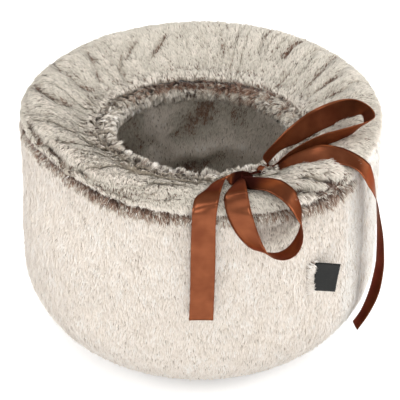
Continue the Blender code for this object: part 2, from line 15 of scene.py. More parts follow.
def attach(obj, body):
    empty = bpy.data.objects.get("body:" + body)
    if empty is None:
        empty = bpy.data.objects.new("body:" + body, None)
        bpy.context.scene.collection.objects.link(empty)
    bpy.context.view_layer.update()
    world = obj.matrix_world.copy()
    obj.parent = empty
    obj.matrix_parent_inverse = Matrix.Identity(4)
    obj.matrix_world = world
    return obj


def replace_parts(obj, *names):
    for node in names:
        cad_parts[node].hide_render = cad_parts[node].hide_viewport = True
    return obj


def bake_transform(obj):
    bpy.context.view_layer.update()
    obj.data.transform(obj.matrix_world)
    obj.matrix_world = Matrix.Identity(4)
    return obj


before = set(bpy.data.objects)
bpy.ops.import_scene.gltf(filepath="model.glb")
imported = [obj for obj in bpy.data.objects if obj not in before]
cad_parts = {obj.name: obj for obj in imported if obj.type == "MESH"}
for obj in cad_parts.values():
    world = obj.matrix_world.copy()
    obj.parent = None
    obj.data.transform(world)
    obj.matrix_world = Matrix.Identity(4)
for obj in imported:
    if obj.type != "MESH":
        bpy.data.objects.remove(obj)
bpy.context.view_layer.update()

# The drum and collar that every skin and all the fur follow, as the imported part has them
drum = {
    "wallRadius": 0.1995,
    "rimRadius": 0.1970,
    "seamHeight": 0.2535,
    "cornerReach": 0.080,
    "cornerHeight": 0.090,
    "crownRise": 0.0145,
    "crownReach": 0.0210,
    "collarEndRadius": 0.1155,
    "collarEndHeight": 0.2335,
    "backRise": 0.0095,
    "frontLeftPull": 0.0150,
    "frontRightSag": 0.0080,
    "sideSeamTurn": -53.0,
    "creaseTurn": -27.5,
}
crownRadius = drum["rimRadius"] - drum["crownReach"]
crownHeight = drum["seamHeight"] + drum["crownRise"]

# Fur colours, from brown through grey beige to cream, at the tips and at the roots
furColours = {
    "tips": [
        (0.0, "#44291b"),
        (0.3, "#8e6b56"),
        (0.5, "#b9aa9a"),
        (0.64, "#d2ccbe"),
        (0.8, "#eae1d4"),
        (0.93, "#f9efe4"),
        (1.0, "#fdfbf6"),
    ],
    "roots": [
        (0.0, "#20120b"),
        (0.3, "#4a2d1e"),
        (0.5, "#5a4234"),
        (0.64, "#7a6a5c"),
        (0.8, "#9c8a79"),
        (0.93, "#dccfc1"),
        (1.0, "#efe8dc"),
    ],
}


def linear(hexColour):
    # An sRGB hex colour as linear red, green, blue and alpha
    parts = [int(hexColour[i : i + 2], 16) / 255 for i in (1, 3, 5)]
    return [p / 12.92 if p <= 0.04045 else ((p + 0.055) / 1.055) ** 2.4 for p in parts] + [1.0]


def plug(tree, node, values):
    # Each input is linked to another node's output, or set to a colour or a number
    for name, value in values.items():
        if isinstance(value, bpy.types.NodeSocket):
            tree.links.new(value, node.inputs[name])
        else:
            node.inputs[name].default_value = linear(value) if isinstance(value, str) else value


def addNode(tree, kind, settings=None, values=None):
    # One node with its settings, its ramp's stops if it has any, and its inputs
    node = tree.nodes.new(kind)
    for name, value in (settings or {}).items():
        if name == "stops":
            band = node.color_ramp
            while len(band.elements) < len(value):
                band.elements.new(0.5)
            for element, (place, colour) in zip(band.elements, value):
                element.position = place
                element.color = linear(colour)
        else:
            setattr(node, name, value)
    plug(tree, node, values or {})
    return node


def newMaterial(name):
    made = bpy.data.materials.new(name)
    made.use_nodes = True
    return made, made.node_tree, made.node_tree.nodes["Principled BSDF"]


def ease(value, low, high):
    share = np.clip((value - low) / (high - low), 0.0, 1.0)
    return share * share * (3.0 - 2.0 * share)


def bell(turn, middle, spread):
    # 1 at the middle, falling away to each side, all in degrees
    away = (turn - middle + 180.0) % 360.0 - 180.0
    return np.exp(-((away / spread) ** 2))


def drift(places, size, seed):
    # Smooth random values from -1 to 1 that change over about size metres
    table = np.random.default_rng(seed).uniform(-1.0, 1.0, (40, 40, 40))
    spot = places / size + 1000.0
    low = np.floor(spot).astype(int)
    part = spot - low
    part = part * part * (3.0 - 2.0 * part)
    total = 0.0
    for corner in product((0, 1), repeat=3):
        weight = np.prod(np.where(corner, part, 1.0 - part), axis=-1)
        at = (low + corner) % 40
        total = total + weight * table[at[..., 0], at[..., 1], at[..., 2]]
    return total


def unit(vectors):
    return vectors / np.maximum(np.linalg.norm(vectors, axis=-1, keepdims=True), 1e-9)


def alongLine(points, share):
    # The (radius, height) at a share of a line's length
    points = np.array(points)
    steps = np.linalg.norm(np.diff(points, axis=0), axis=1)
    reached = np.concatenate([[0.0], np.cumsum(steps)]) / steps.sum()
    return np.interp(share, reached, points[:, 0]), np.interp(share, reached, points[:, 1])


def settle(angle, radius, height):
    # Where a point of the neatly turned bed comes to lie: pulled in at the front left, sagging at
    # the front right, higher at the back
    turn = np.degrees(angle)
    upper = ease(height, 0.5 * drum["seamHeight"], 0.9 * drum["seamHeight"])
    inward = (drum["rimRadius"] - radius) / (drum["rimRadius"] - drum["collarEndRadius"])
    inward = np.clip(inward, 0.0, 1.0)
    crown = np.exp(-(((radius - crownRadius) / (1.4 * drum["crownReach"])) ** 2))
    pull = drum["frontLeftPull"] * bell(turn, -140.0, 27.0) * upper * (radius / drum["rimRadius"]) ** 2
    rise = drum["backRise"] * np.sin(angle) * crown
    rise = rise - drum["frontRightSag"] * bell(turn, -48.0, 30.0) * (1.0 - 0.6 * inward)
    out = radius - pull
    return np.stack([out * np.cos(angle), out * np.sin(angle), height + rise * upper], axis=-1)


def cornerLine(inset=0.0):
    # The drum's side from the floor round the soft lower corner and up to the seam
    angles = np.radians(np.linspace(8.0, 90.0, 24))
    radius = drum["wallRadius"] - drum["cornerReach"] + (drum["cornerReach"] - inset) * np.sin(angles)
    height = drum["cornerHeight"] - (drum["cornerHeight"] - inset) * np.cos(angles)
    line = list(zip(radius, height))
    return line + [(drum["rimRadius"] - inset, drum["seamHeight"])]


def collarLine():
    # Over the crown and down to the mouth
    line = []
    for angle in np.radians(range(0, 91, 10)):
        radius = crownRadius + drum["crownReach"] * cos(angle)
        line.append((radius, drum["seamHeight"] + drum["crownRise"] * sin(angle)))
    for i in range(1, 25):
        share = 1.0 - i / 24
        fall = 0.5 * sin(0.5 * pi * share) + 0.5 * share * share * (3.0 - 2.0 * share)
        radius = drum["collarEndRadius"] + (crownRadius - drum["collarEndRadius"]) * share
        line.append((radius, drum["collarEndHeight"] + (crownHeight - drum["collarEndHeight"]) * fall))
    return line


def wallAt(angle, share):
    radius, height = alongLine(cornerLine(), share)
    turn = np.degrees(angle)
    ring = np.stack([0.2 * np.cos(angle), 0.2 * np.sin(angle), height], axis=-1)
    upright = ease(share, 0.15, 0.4)
    out = 0.0016 * drift(ring, 0.055, 3) * upright
    out = out + 0.0006 * drift(ring, 0.016, 4) * upright
    seam = bell(turn, drum["sideSeamTurn"], 1.3) * ease(share, 0.1, 0.3) * ease(share, 0.96, 0.9)
    crease = bell(turn, drum["creaseTurn"], 1.5) * ease(share, 0.2, 0.35)
    out = out - 0.0020 * seam - 0.0026 * crease
    pucker = np.sin(58.0 * angle + 3.0 * np.sin(5.0 * angle)) * ease(share, 0.88, 0.99)
    out = out + 0.0007 * pucker - 0.0030 * ease(share, 0.965, 1.0)
    return settle(angle, radius + out, height)


# Creases of the collar as width, depth and a line, all in millimetres seen from above
collarCreases = [
    (5.0, 1.0, [(-168, 93), (-155, 69), (-139, 60), (-119, 59)]),
    (4.0, 0.7, [(-157, 83), (-141, 71), (-132, 66), (-115, 64)]),
    (6.0, 1.1, [(-187, 54), (-174, 20), (-165, 14), (-156, 10), (-135, 24)]),
    (4.0, 0.7, [(-177, 33), (-168, 18), (-155, 18), (-144, 23)]),
    (7.0, 0.7, [(-190, 18), (-184, -18), (-171, -26), (-158, -22)]),
    (6.0, 1.0, [(-186, -33), (-171, -41), (-151, -36), (-144, -46), (-132, -38)]),
    (6.0, 0.9, [(-165, -76), (-145, -86), (-129, -73), (-113, -65)]),
    (4.5, 1.0, [(-160, -117), (-135, -135), (-108, -136), (-90, -118)]),
    (5.5, 0.8, [(-99, -168), (-77, -164), (-57, -163), (-46, -147)]),
    (5.5, 0.8, [(-101, -173), (-71, -175), (-51, -174), (-36, -167)]),
    (5.5, 0.8, [(-91, -179), (-69, -183), (-45, -184), (-28, -181), (-11, -178)]),
    (5.0, 0.9, [(-128, 112), (-118, 91), (-114, 74)]),
    (4.0, 0.7, [(-106, 124), (-102, 110), (-104, 102)]),
    (3.5, 1.1, [(-91, 128), (-92, 113), (-91, 105), (-83, 100)]),
    (4.0, 0.7, [(-74, 147), (-80, 130), (-87, 114)]),
    (4.0, 0.7, [(-35, 159), (-43, 147), (-53, 136), (-58, 126)]),
    (4.0, 0.5, [(4, 159), (6, 151), (2, 144)]),
    (5.0, 0.7, [(22, 160), (32, 137)]),
    (4.0, 0.6, [(53, 163), (45, 152), (37, 142)]),
    (4.0, 0.7, [(84, 166), (76, 143), (70, 132), (69, 125)]),
    (5.0, 0.6, [(112, 134), (101, 124), (85, 115)]),
    (5.0, 0.8, [(116, 134), (104, 119), (96, 112)]),
    (5.0, 0.7, [(134, 107), (122, 97), (115, 92), (107, 87)]),
    (5.0, 1.0, [(153, 100), (140, 77), (128, 69), (117, 64)]),
    (5.0, 0.9, [(167, 84), (148, 56), (135, 52), (120, 52)]),
    (5.0, 0.8, [(174, 42), (158, 30), (141, 32), (125, 38)]),
    (4.5, 2.3, [(90, -146), (104, -142), (119, -140), (133, -137), (149, -129)]),
    (4.5, 2.2, [(70, -166), (96, -161), (117, -153), (136, -143), (150, -132)]),
    (4.0, 0.8, [(-60, -150), (-35, -158), (-8, -160)]),
    (3.2, 1.2, [(-191, -28), (-176, -80), (-149, -123), (-120, -152), (-97, -168), (-60, -184)]),
    (3.0, 1.0, [(-187, -34), (-170, -84), (-144, -124), (-115, -150), (-96, -163)]),
]
# Creases of the lining, in millimetres round the wall from the +X side and up it
liningCreases = [
    (15.0, -1.7, [(296, 190), (297, 158), (289, 138), (293, 120), (308, 100)]),
    (14.0, 0.9, [(320, 185), (316, 150), (306, 130)]),
    (15.0, 1.1, [(222, 190), (236, 167), (253, 152), (275, 135)]),
    (14.0, 1.2, [(206, 122), (224, 108), (245, 96), (280, 86)]),
    (13.0, 0.6, [(196, 185), (188, 156)]),
    (10.0, 0.9, [(345, 150), (322, 120), (310, 100)]),
    (16.0, -1.3, [(276, 121), (240, 122), (203, 134), (170, 130)]),
    (8.0, 0.9, [(-60, 180), (-90, 150), (-100, 110)]),
    (8.0, 0.9, [(60, 170), (30, 150), (40, 110)]),
    (8.0, 0.9, [(-300, 180), (-260, 140), (-270, 100)]),
]


def furrow(x, y, lines, seed):
    # How deep a point lies in the creases: a broad hollow with a narrow line down its middle, and
    # slightly below zero on its banks
    spots = np.stack([x, y, 0.0 * x], axis=-1)
    x = x + 0.0024 * drift(spots, 0.013, seed)
    y = y + 0.0024 * drift(spots, 0.013, seed + 1)
    total = 0.0 * x
    for width, depth, line in lines:
        points = np.array(line) / 1000.0
        nearest, progress = 0.0 * x + 1.0, 0.0 * x
        for i, (start, run) in enumerate(zip(points, np.diff(points, axis=0))):
            part = ((x - start[0]) * run[0] + (y - start[1]) * run[1]) / (run @ run)
            part = np.clip(part, 0.0, 1.0)
            away = np.hypot(x - start[0] - part * run[0], y - start[1] - part * run[1])
            progress = np.where(away < nearest, (i + part) / (len(points) - 1), progress)
            nearest = np.minimum(away, nearest)
        reach = nearest / (0.001 * width)
        fade = 1.0 - 0.85 * (2.0 * progress - 1.0) ** 4
        hollow = 0.55 * np.exp(-((1.3 * reach) ** 2)) + 0.45 * np.exp(-((0.55 * reach) ** 2))
        total = total + depth * fade * (hollow - 0.3 * np.exp(-((0.22 * reach) ** 2)))
    return total


def gatheredAngle(angle, radius):
    # The gathers don't run straight to the middle: they're swept round at the front left
    reach = (crownRadius - radius) / (crownRadius - drum["collarEndRadius"])
    return angle - (0.35 * bell(np.degrees(angle), -118.0, 26.0) + 0.10 * np.sin(2.0 * angle + 0.6)) * reach


def collarCrease(angle, share):
    # The creases seen one by one, and patches of close gathers running to the mouth
    radius, _ = alongLine(collarLine(), share)
    x, y = radius * np.cos(angle), radius * np.sin(angle)
    turn = np.degrees(angle)
    at = gatheredAngle(angle, radius)
    wave = np.sin(36.0 * at + 1.6 * np.sin(5.0 * at) + 0.9 * np.sin(11.0 * at + 1.0))
    valley = np.exp(-((wave / 0.36) ** 2))
    patch = ease(drift(np.stack([x, y, 0.0 * x], axis=-1), 0.022, 57), -0.35, 0.5)
    place = bell(turn, 52.0, 40.0) + 0.7 * bell(turn, 150.0, 34.0) + 0.5 * bell(turn, -120.0, 30.0)
    return furrow(x, y, collarCreases, 51) + 0.50 * valley * patch * place * ease(share, 0.08, 0.26)


def foldWave(angle, radius):
    # The gathers that the drawstring draws up, fading out towards the rim
    at = gatheredAngle(angle, radius)
    broad = np.sin(13.0 * at + 1.5 * np.sin(3.0 * at + 0.4) + 1.1 * np.sin(7.0 * at + 2.0))
    fine = np.sin(31.0 * at + 2.2 * np.sin(4.0 * at + 1.0) + 1.4 * np.sin(9.0 * at))
    return np.abs(broad) ** 0.7 - 0.62, np.abs(fine) ** 0.8 - 0.6


def collarAt(angle, share):
    radius, height = alongLine(collarLine(), share)
    turn = np.degrees(angle)
    broad, fine = foldWave(angle, radius)
    rise = 0.0016 * broad * ease(radius, 0.180, 0.135) + 0.0022 * fine * ease(radius, 0.160, 0.125)
    ring = np.stack([0.2 * np.cos(angle), 0.2 * np.sin(angle), radius], axis=-1)
    rise = rise + 0.0012 * drift(ring, 0.02, 6) * ease(share, 0.0, 0.2)
    rise = rise - 0.0058 * collarCrease(angle, share) * ease(share, -0.05, 0.10)
    rise = rise + 0.0035 * bell(turn, -50.0, 17.0) * ease(share, 0.02, 0.15) * ease(share, 0.8, 0.5)
    # the collar ends in a raised edge of gathered pile, puffed between the gathers
    rise = rise + 0.0022 * ease(share, 0.86, 0.94) * ease(share, 1.0, 0.97)
    rise = rise + 0.0026 * ruffleLump(angle) * ease(share, 0.76, 0.92) * (1.0 - 0.8 * bell(turn, 90.0, 50.0))
    place = settle(angle, radius - 0.0028 * ease(share, 0.035, 0.0), height + rise)
    # at the front right its rolls also bulge out over the seam
    roll = 0.0045 * np.sin(pi * np.clip(share / 0.3, 0.0, 1.0)) - 0.0035 * collarCrease(angle, share)
    bulge = bell(turn, -50.0, 14.0) * roll
    pucker = 0.0006 * np.sin(58.0 * angle + 3.0 * np.sin(5.0 * angle)) * ease(share, 0.12, 0.0)
    out = pucker + np.maximum(bulge, -0.002)
    return place + out[..., None] * np.stack([np.cos(angle), np.sin(angle), 0.0 * angle], axis=-1)


ruffle = {"middleRadius": 0.1083, "middleHeight": 0.2262, "across": 0.0080, "high": 0.0094, "tufts": 27.0}


def ruffleLump(angle):
    # The gathered tufts round the mouth, from -1 in a crease to 1 on a tuft
    phase = ruffle["tufts"] * angle + 3.1 * np.sin(4.0 * angle) + 1.9 * np.sin(9.0 * angle + 1.0)
    lump = 2.0 * (np.sin(phase + 1.1 * np.sin(17.0 * angle + 2.0)) ** 2 + 0.02) ** 0.35 - 1.0
    return 0.88 * lump + 0.12 * np.sin(83.0 * angle + 3.0 * np.sin(5.0 * angle))


def ruffleAt(angle, share):
    # Round the drawstring channel, from the collar over its top and down inside the mouth
    swing = np.radians(10.0 + 260.0 * share)
    turn = np.degrees(angle)
    size = 0.30 - 0.16 * bell(turn, 90.0, 50.0) + 0.16 * bell(turn, 165.0, 45.0)
    grow = 1.0 + size * ruffleLump(angle)
    radius = ruffle["middleRadius"] + ruffle["across"] * np.cos(swing) * grow
    height = ruffle["middleHeight"] + ruffle["high"] * np.sin(swing) * grow
    # at the back the channel sinks behind the collar's raised edge
    height = height - 0.0022 * bell(turn, 90.0, 55.0) * ease(share, 0.6, 0.2)
    return settle(angle, radius, height)


def undersideAt(angle, share):
    radius, height = alongLine([(0.1125, 0.2168), (0.135, 0.2262), (0.1516, 0.2360)], share)
    ring = np.stack([radius * np.cos(angle), radius * np.sin(angle), height], axis=-1)
    return settle(angle, radius, height + 0.0012 * drift(ring, 0.015, 8))


# The wall inside, from its top under the collar down to the floor
inside = {"radius": 0.1522, "top": 0.2375, "drop": 0.2010, "creaseRadius": 0.152}


def liningCrease(angle, share):
    return furrow(inside["creaseRadius"] * angle, inside["top"] - inside["drop"] * share, liningCreases, 61)


def liningAt(angle, share):
    # With soft hollows and ridges between its top and bottom edges
    height = inside["top"] - inside["drop"] * share
    ring = np.stack([0.15 * np.cos(angle), 0.15 * np.sin(angle), height], axis=-1)
    body = ease(share, 0.0, 0.15) * ease(share, 1.0, 0.8)
    swell = 0.0022 * drift(ring, 0.045, 9) + 0.0012 * drift(ring, 0.018, 10)
    swell = swell - 0.0060 * liningCrease(angle, share)
    return settle(angle, inside["radius"] - swell * body, height)


def keep(name, shape, finish, body):
    # The finished shape becomes a named piece with its material and the body it rides
    mesh = bpy.data.meshes.new(name)
    shape.to_mesh(mesh)
    shape.free()
    made = bpy.data.objects.new(name, mesh)
    bpy.context.scene.collection.objects.link(made)
    mesh.materials.append(finishes[finish])
    mesh.shade_smooth()
    if body:
        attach(made, body)
    return made


def sleeve(name, surfaceAt, steps, rows, finish, body="bed"):
    # A straight sleeve is spun from one upright line, and its points then go where the surface is
    shape = bmesh.new()
    line = [shape.verts.new((1.0, 0.0, i / rows)) for i in range(rows + 1)]
    edges = [shape.edges.new(pair) for pair in zip(line, line[1:])]
    bmesh.ops.spin(
        shape, geom=line + edges, cent=(0, 0, 0), axis=(0, 0, 1), angle=2 * pi, steps=steps, use_merge=True
    )
    bmesh.ops.remove_doubles(shape, verts=shape.verts, dist=1e-5)
    bmesh.ops.recalc_face_normals(shape, faces=shape.faces)
    # the outside lies to the left of the upward line, so the straight sleeve's faces look outwards
    first = shape.faces[:][0]
    if first.normal.dot(first.calc_center_median() * Vector((1, 1, 0))) < 0:
        bmesh.ops.reverse_faces(shape, faces=shape.faces)
    flat = np.array([point.co for point in shape.verts])
    angle = np.arctan2(flat[:, 1], flat[:, 0])
    places = surfaceAt(angle, flat[:, 2])
    length = np.linalg.norm(np.diff(surfaceAt(np.zeros(60), np.linspace(0, 1, 60)), axis=0), axis=1).sum()
    radius = np.linalg.norm(places[:, :2], axis=1).mean()
    lay = shape.verts.layers.float_vector.new("lay")
    for point, place, around, upright in zip(shape.verts, places, angle, flat[:, 2]):
        point.co = place
        point[lay] = (radius * cos(around), radius * sin(around), upright * length)
    bmesh.ops.remove_doubles(shape, verts=shape.verts, dist=1e-6)
    return keep(name, shape, finish, body)


def turned(name, profile, finish, steps=120, rows=80, body="bed"):
    # A closed profile of (radius, height) carried round the settled bed
    return sleeve(
        name,
        lambda angle, share: settle(angle, *alongLine(profile, share)),
        steps,
        rows,
        finish,
        body,
    )


def plushSkin(name, dark, light, speck):
    # The plush's knitted backing and underfur: matt, with brown flecks drawn out along the nap
    made, tree, shader = newMaterial(name)
    lay = addNode(tree, "ShaderNodeAttribute", {"attribute_name": "lay"}).outputs["Vector"]
    stretch = addNode(
        tree, "ShaderNodeMapping", values={"Vector": lay, "Scale": (1.0, 1.0, 0.35)}
    ).outputs["Vector"]
    fleck = addNode(
        tree,
        "ShaderNodeTexNoise",
        values={"Vector": stretch, "Scale": 620.0, "Detail": 3.0, "Roughness": 0.6},
    ).outputs["Fac"]
    cloud = addNode(
        tree, "ShaderNodeTexNoise", values={"Vector": lay, "Scale": 60.0, "Detail": 2.0}
    ).outputs["Fac"]
    mixed = addNode(
        tree, "ShaderNodeMath", {"operation": "MULTIPLY_ADD"}, {0: cloud, 1: 0.5, 2: fleck}
    ).outputs[0]
    colour = addNode(
        tree, "ShaderNodeValToRGB", {"stops": [(speck - 0.13, dark), (speck + 0.05, light)]}, {"Fac": mixed}
    ).outputs["Color"]
    bump = addNode(
        tree, "ShaderNodeBump", values={"Strength": 0.6, "Distance": 0.0015, "Height": fleck}
    ).outputs["Normal"]
    plug(tree, shader, {"Base Color": colour, "Normal": bump, "Roughness": 0.95, "Sheen Weight": 0.15})
    return made


def plushFur(name):
    # Short frosted plush: brown roots under pale, slightly glossy tips. The map's height runs along
    # the strand and its width runs from brown tufts to cream ones.
    made, tree, shader = newMaterial(name)
    where = addNode(tree, "ShaderNodeUVMap", {"uv_map": "OFBake"}).outputs["UV"]
    parts = addNode(tree, "ShaderNodeSeparateXYZ", values={"Vector": where}).outputs
    tips = addNode(
        tree, "ShaderNodeValToRGB", {"stops": furColours["tips"]}, {"Fac": parts["X"]}
    ).outputs["Color"]
    roots = addNode(
        tree, "ShaderNodeValToRGB", {"stops": furColours["roots"]}, {"Fac": parts["X"]}
    ).outputs["Color"]
    along = addNode(
        tree, "ShaderNodeMapRange", values={"Value": parts["Y"], "From Min": 0.05, "From Max": 0.6}
    ).outputs["Result"]
    mixed = addNode(tree, "ShaderNodeMix", {"data_type": "RGBA"}, {0: along, 6: roots, 7: tips}).outputs[2]
    plug(tree, shader, {"Base Color": mixed, "Roughness": 0.8, "Sheen Weight": 0.12, "Sheen Roughness": 0.5})
    return made


def satinRibbon():
    # Polyester satin: warm copper, glossy along its floating threads, with a fine weave across
    made, tree, shader = newMaterial("copper satin ribbon")
    where = addNode(tree, "ShaderNodeUVMap", {"uv_map": "strip"}).outputs["UV"]
    thread = addNode(
        tree, "ShaderNodeMapping", values={"Vector": where, "Scale": (60.0, 2600.0, 1.0)}
    ).outputs["Vector"]
    weave = addNode(
        tree, "ShaderNodeTexNoise", values={"Vector": thread, "Scale": 1.0, "Detail": 2.0}
    ).outputs["Fac"]
    broad = addNode(
        tree, "ShaderNodeTexNoise", values={"Vector": where, "Scale": 50.0, "Detail": 2.0}
    ).outputs["Fac"]
    mixed = addNode(
        tree, "ShaderNodeMath", {"operation": "MULTIPLY_ADD"}, {0: weave, 1: 0.3, 2: broad}
    ).outputs[0]
    colour = addNode(
        tree, "ShaderNodeValToRGB", {"stops": [(0.45, "#74402a"), (0.85, "#8a5136")]}, {"Fac": mixed}
    ).outputs["Color"]
    # painted shade: deep in the bow, where the folds shade one another, the satin is painted dark brown
    hollow = addNode(tree, "ShaderNodeAttribute", {"attribute_name": "hollow"}).outputs["Fac"]
    shaded = addNode(
        tree, "ShaderNodeMix", {"data_type": "RGBA"}, {0: hollow, 6: colour, 7: "#2a120b"}
    ).outputs[2]
    bump = addNode(
        tree, "ShaderNodeBump", values={"Strength": 0.06, "Distance": 0.0002, "Height": weave}
    ).outputs["Normal"]
    plug(
        tree,
        shader,
        {
            "Base Color": shaded,
            "Normal": bump,
            "Metallic": 0.85,
            "Roughness": 0.34,
            "Anisotropic": 0.4,
            "Specular IOR Level": 0.2,
            "Specular Tint": "#cc9c82",
        },
    )
    return made


def wovenLabel():
    # Damask label tape: charcoal polyester, matt, with a fine rib across
    made, tree, shader = newMaterial("charcoal woven label")
    where = addNode(tree, "ShaderNodeTexCoord").outputs["Object"]
    rib = addNode(
        tree, "ShaderNodeMapping", values={"Vector": where, "Scale": (300.0, 300.0, 2600.0)}
    ).outputs["Vector"]
    weave = addNode(
        tree, "ShaderNodeTexNoise", values={"Vector": rib, "Scale": 1.0, "Detail": 2.0}
    ).outputs["Fac"]
    colour = addNode(
        tree, "ShaderNodeValToRGB", {"stops": [(0.3, "#0b0c0b"), (0.7, "#181917")]}, {"Fac": weave}
    ).outputs["Color"]
    bump = addNode(
        tree, "ShaderNodeBump", values={"Strength": 0.5, "Distance": 0.0004, "Height": weave}
    ).outputs["Normal"]
    plug(tree, shader, {"Base Color": colour, "Normal": bump, "Roughness": 0.7})
    return made


def grainyCloth(name, low, high, scale, depth=0.0006):
    # A matt face broken by a grain: foam cells, loose fibres or a plain weave by its scale
    made, tree, shader = newMaterial(name)
    where = addNode(tree, "ShaderNodeTexCoord").outputs["Object"]
    grain = addNode(
        tree, "ShaderNodeTexNoise", values={"Vector": where, "Scale": scale, "Detail": 3.0}
    ).outputs["Fac"]
    colour = addNode(
        tree, "ShaderNodeValToRGB", {"stops": [(0.35, low), (0.65, high)]}, {"Fac": grain}
    ).outputs["Color"]
    bump = addNode(
        tree, "ShaderNodeBump", values={"Strength": 0.6, "Distance": depth, "Height": grain}
    ).outputs["Normal"]
    plug(tree, shader, {"Base Color": colour, "Normal": bump, "Roughness": 0.9})
    return made


finishes = {
    "wallSkin": plushSkin("cream plush wall", "#8d7c6c", "#e2d8cb", 0.62),
    "collarSkin": plushSkin("grey beige plush collar", "#4a382c", "#b0a596", 0.72),
    "liningSkin": plushSkin("grey beige plush lining", "#6e6052", "#bdb4a6", 0.70),
    "fur": plushFur("frosted plush pile"),
    "ribbon": satinRibbon(),
    "label": wovenLabel(),
    "foam": grainyCloth("upholstery foam", "#d8cc9e", "#efe6bf", 900.0),
    "wadding": grainyCloth("polyester wadding", "#dcdcd8", "#f6f6f3", 400.0),
    "base": grainyCloth("woven base cloth", "#4d4741", "#6b645c", 1500.0),
}
print("finishes made")

# Each skin's surface, steps round, rows, the solid it stands for, its finish and its slot
skins = {
    "wallCover": (wallAt, 360, 64, "outer_wall_cover", "wallSkin", "plush"),
    "collarCover": (collarAt, 640, 60, "collar_cover", "collarSkin", "plush"),
    "drawstringRuffle": (ruffleAt, 540, 18, "drawstring_casing", "collarSkin", "plush"),
    "collarUnderside": (undersideAt, 180, 8, "collar_lining", "liningSkin", "lining"),
    "wallLining": (liningAt, 240, 50, "inner_wall_lining", "liningSkin", "lining"),
}
for name, (surface, steps, rows, node, finish, slot) in skins.items():
    piece = sleeve(name, surface, steps, rows, finish)
    wall = piece.modifiers.new("thickness", "SOLIDIFY")
    wall.thickness = 0.003
    wall.offset = -1.0
    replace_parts(piece, node)
print("skins made")

# What the skins hold, each a closed profile of (radius, height) in metres
wallInside = [(r, h) for r, h in cornerLine(0.0060) if 0.036 < h < 0.2440]
cores = {
    "baseCloth": (
        [(0.0, 0.0), (0.1290, 0.0), (0.1300, 0.0020), (0.1290, 0.0040), (0.0, 0.0040)],
        "base",
        "base",
        "base_cloth",
    ),
    "baseFoam": (
        [(0.0, 0.0050), (0.1380, 0.0050), (0.1500, 0.0120), (0.1560, 0.0290), (0.0, 0.0290)],
        "foam",
        "foam",
        "base_foam",
    ),
    "floorLining": (
        [(0.0, 0.0305), (0.1560, 0.0305), (0.1560, 0.0345), (0.0, 0.0345)],
        "liningSkin",
        "lining",
        "floor_lining",
    ),
    "wallFoam": (
        [(0.1585, 0.0360)] + wallInside + [(0.1585, 0.2400), (0.1585, 0.0360)], "foam", "foam", "wall_foam"
    ),
    "collarWadding": (
        [
            (0.1190, 0.2240),
            (0.1400, 0.2330),
            (0.1510, 0.2400),
            (0.1700, 0.2440),
            (0.1900, 0.2480),
            (0.1880, 0.2560),
            (0.1760, 0.2610),
        ]
        + [(0.1600, 0.2560), (0.1400, 0.2430), (0.1200, 0.2300), (0.1190, 0.2240)],
        "wadding",
        "wadding",
        "collar_wadding",
    ),
    "casingRibbon": (
        [
            (0.1085, 0.2206),
            (0.1140, 0.2220),
            (0.1088, 0.2238),
            (0.1142, 0.2252),
            (0.1092, 0.2268),
            (0.1088, 0.2266),
        ]
        + [(0.1138, 0.2250), (0.1084, 0.2236), (0.1136, 0.2218), (0.1085, 0.2206)],
        "ribbon",
        "satin",
        "ribbon_in_casing",
    ),
}
for name, (profile, finish, slot, node) in cores.items():
    piece = turned(name, profile, finish)
    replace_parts(piece, node)
print("cores made")

# How every coat is strewn and shaped: the cells its roots are dealt to, the sizes over which its
# strands swirl, tuft and cloud in metres, and one strand's foot, middle and tip
pile = {
    "cellsRound": 240,
    "cellsDown": 60,
    "perPiece": 60000,
    "swirlSizes": (0.010, 0.004),
    "tuftSize": 0.007,
    "cloudSize": 0.012,
    "fleckSize": 0.007,
    "liftSpread": 7.0,
    "footDepth": 0.0006,
    "footShare": 0.7,
    "tipReach": 1.02,
    "tipRise": 0.62,
    "lowest": 0.0004,
}


def gather(points, amount, spots, seed, perTuft):
    # Strands lean together into tufts: each one's points move towards those of its tuft's middle one
    dice = np.random.default_rng(seed)
    chosen = dice.choice(len(spots), max(len(spots) // perTuft, 1), replace=False)
    tree = KDTree(len(chosen))
    for i, k in enumerate(chosen):
        tree.insert(spots[k], i)
    tree.balance()
    tuft = np.array([tree.find(spot)[1] for spot in spots])
    middle = chosen[tuft]
    share = amount[:, None] * (0.7 + 0.6 * dice.random(len(chosen)))[tuft][:, None]
    tipWay = (points[middle][:, 4] - points[:, 4]) * np.clip(share, 0.0, 1.0)
    points[:, 2:4] += 0.45 * tipWay[:, None]
    points[:, 4] += tipWay
    return tuft, len(chosen)


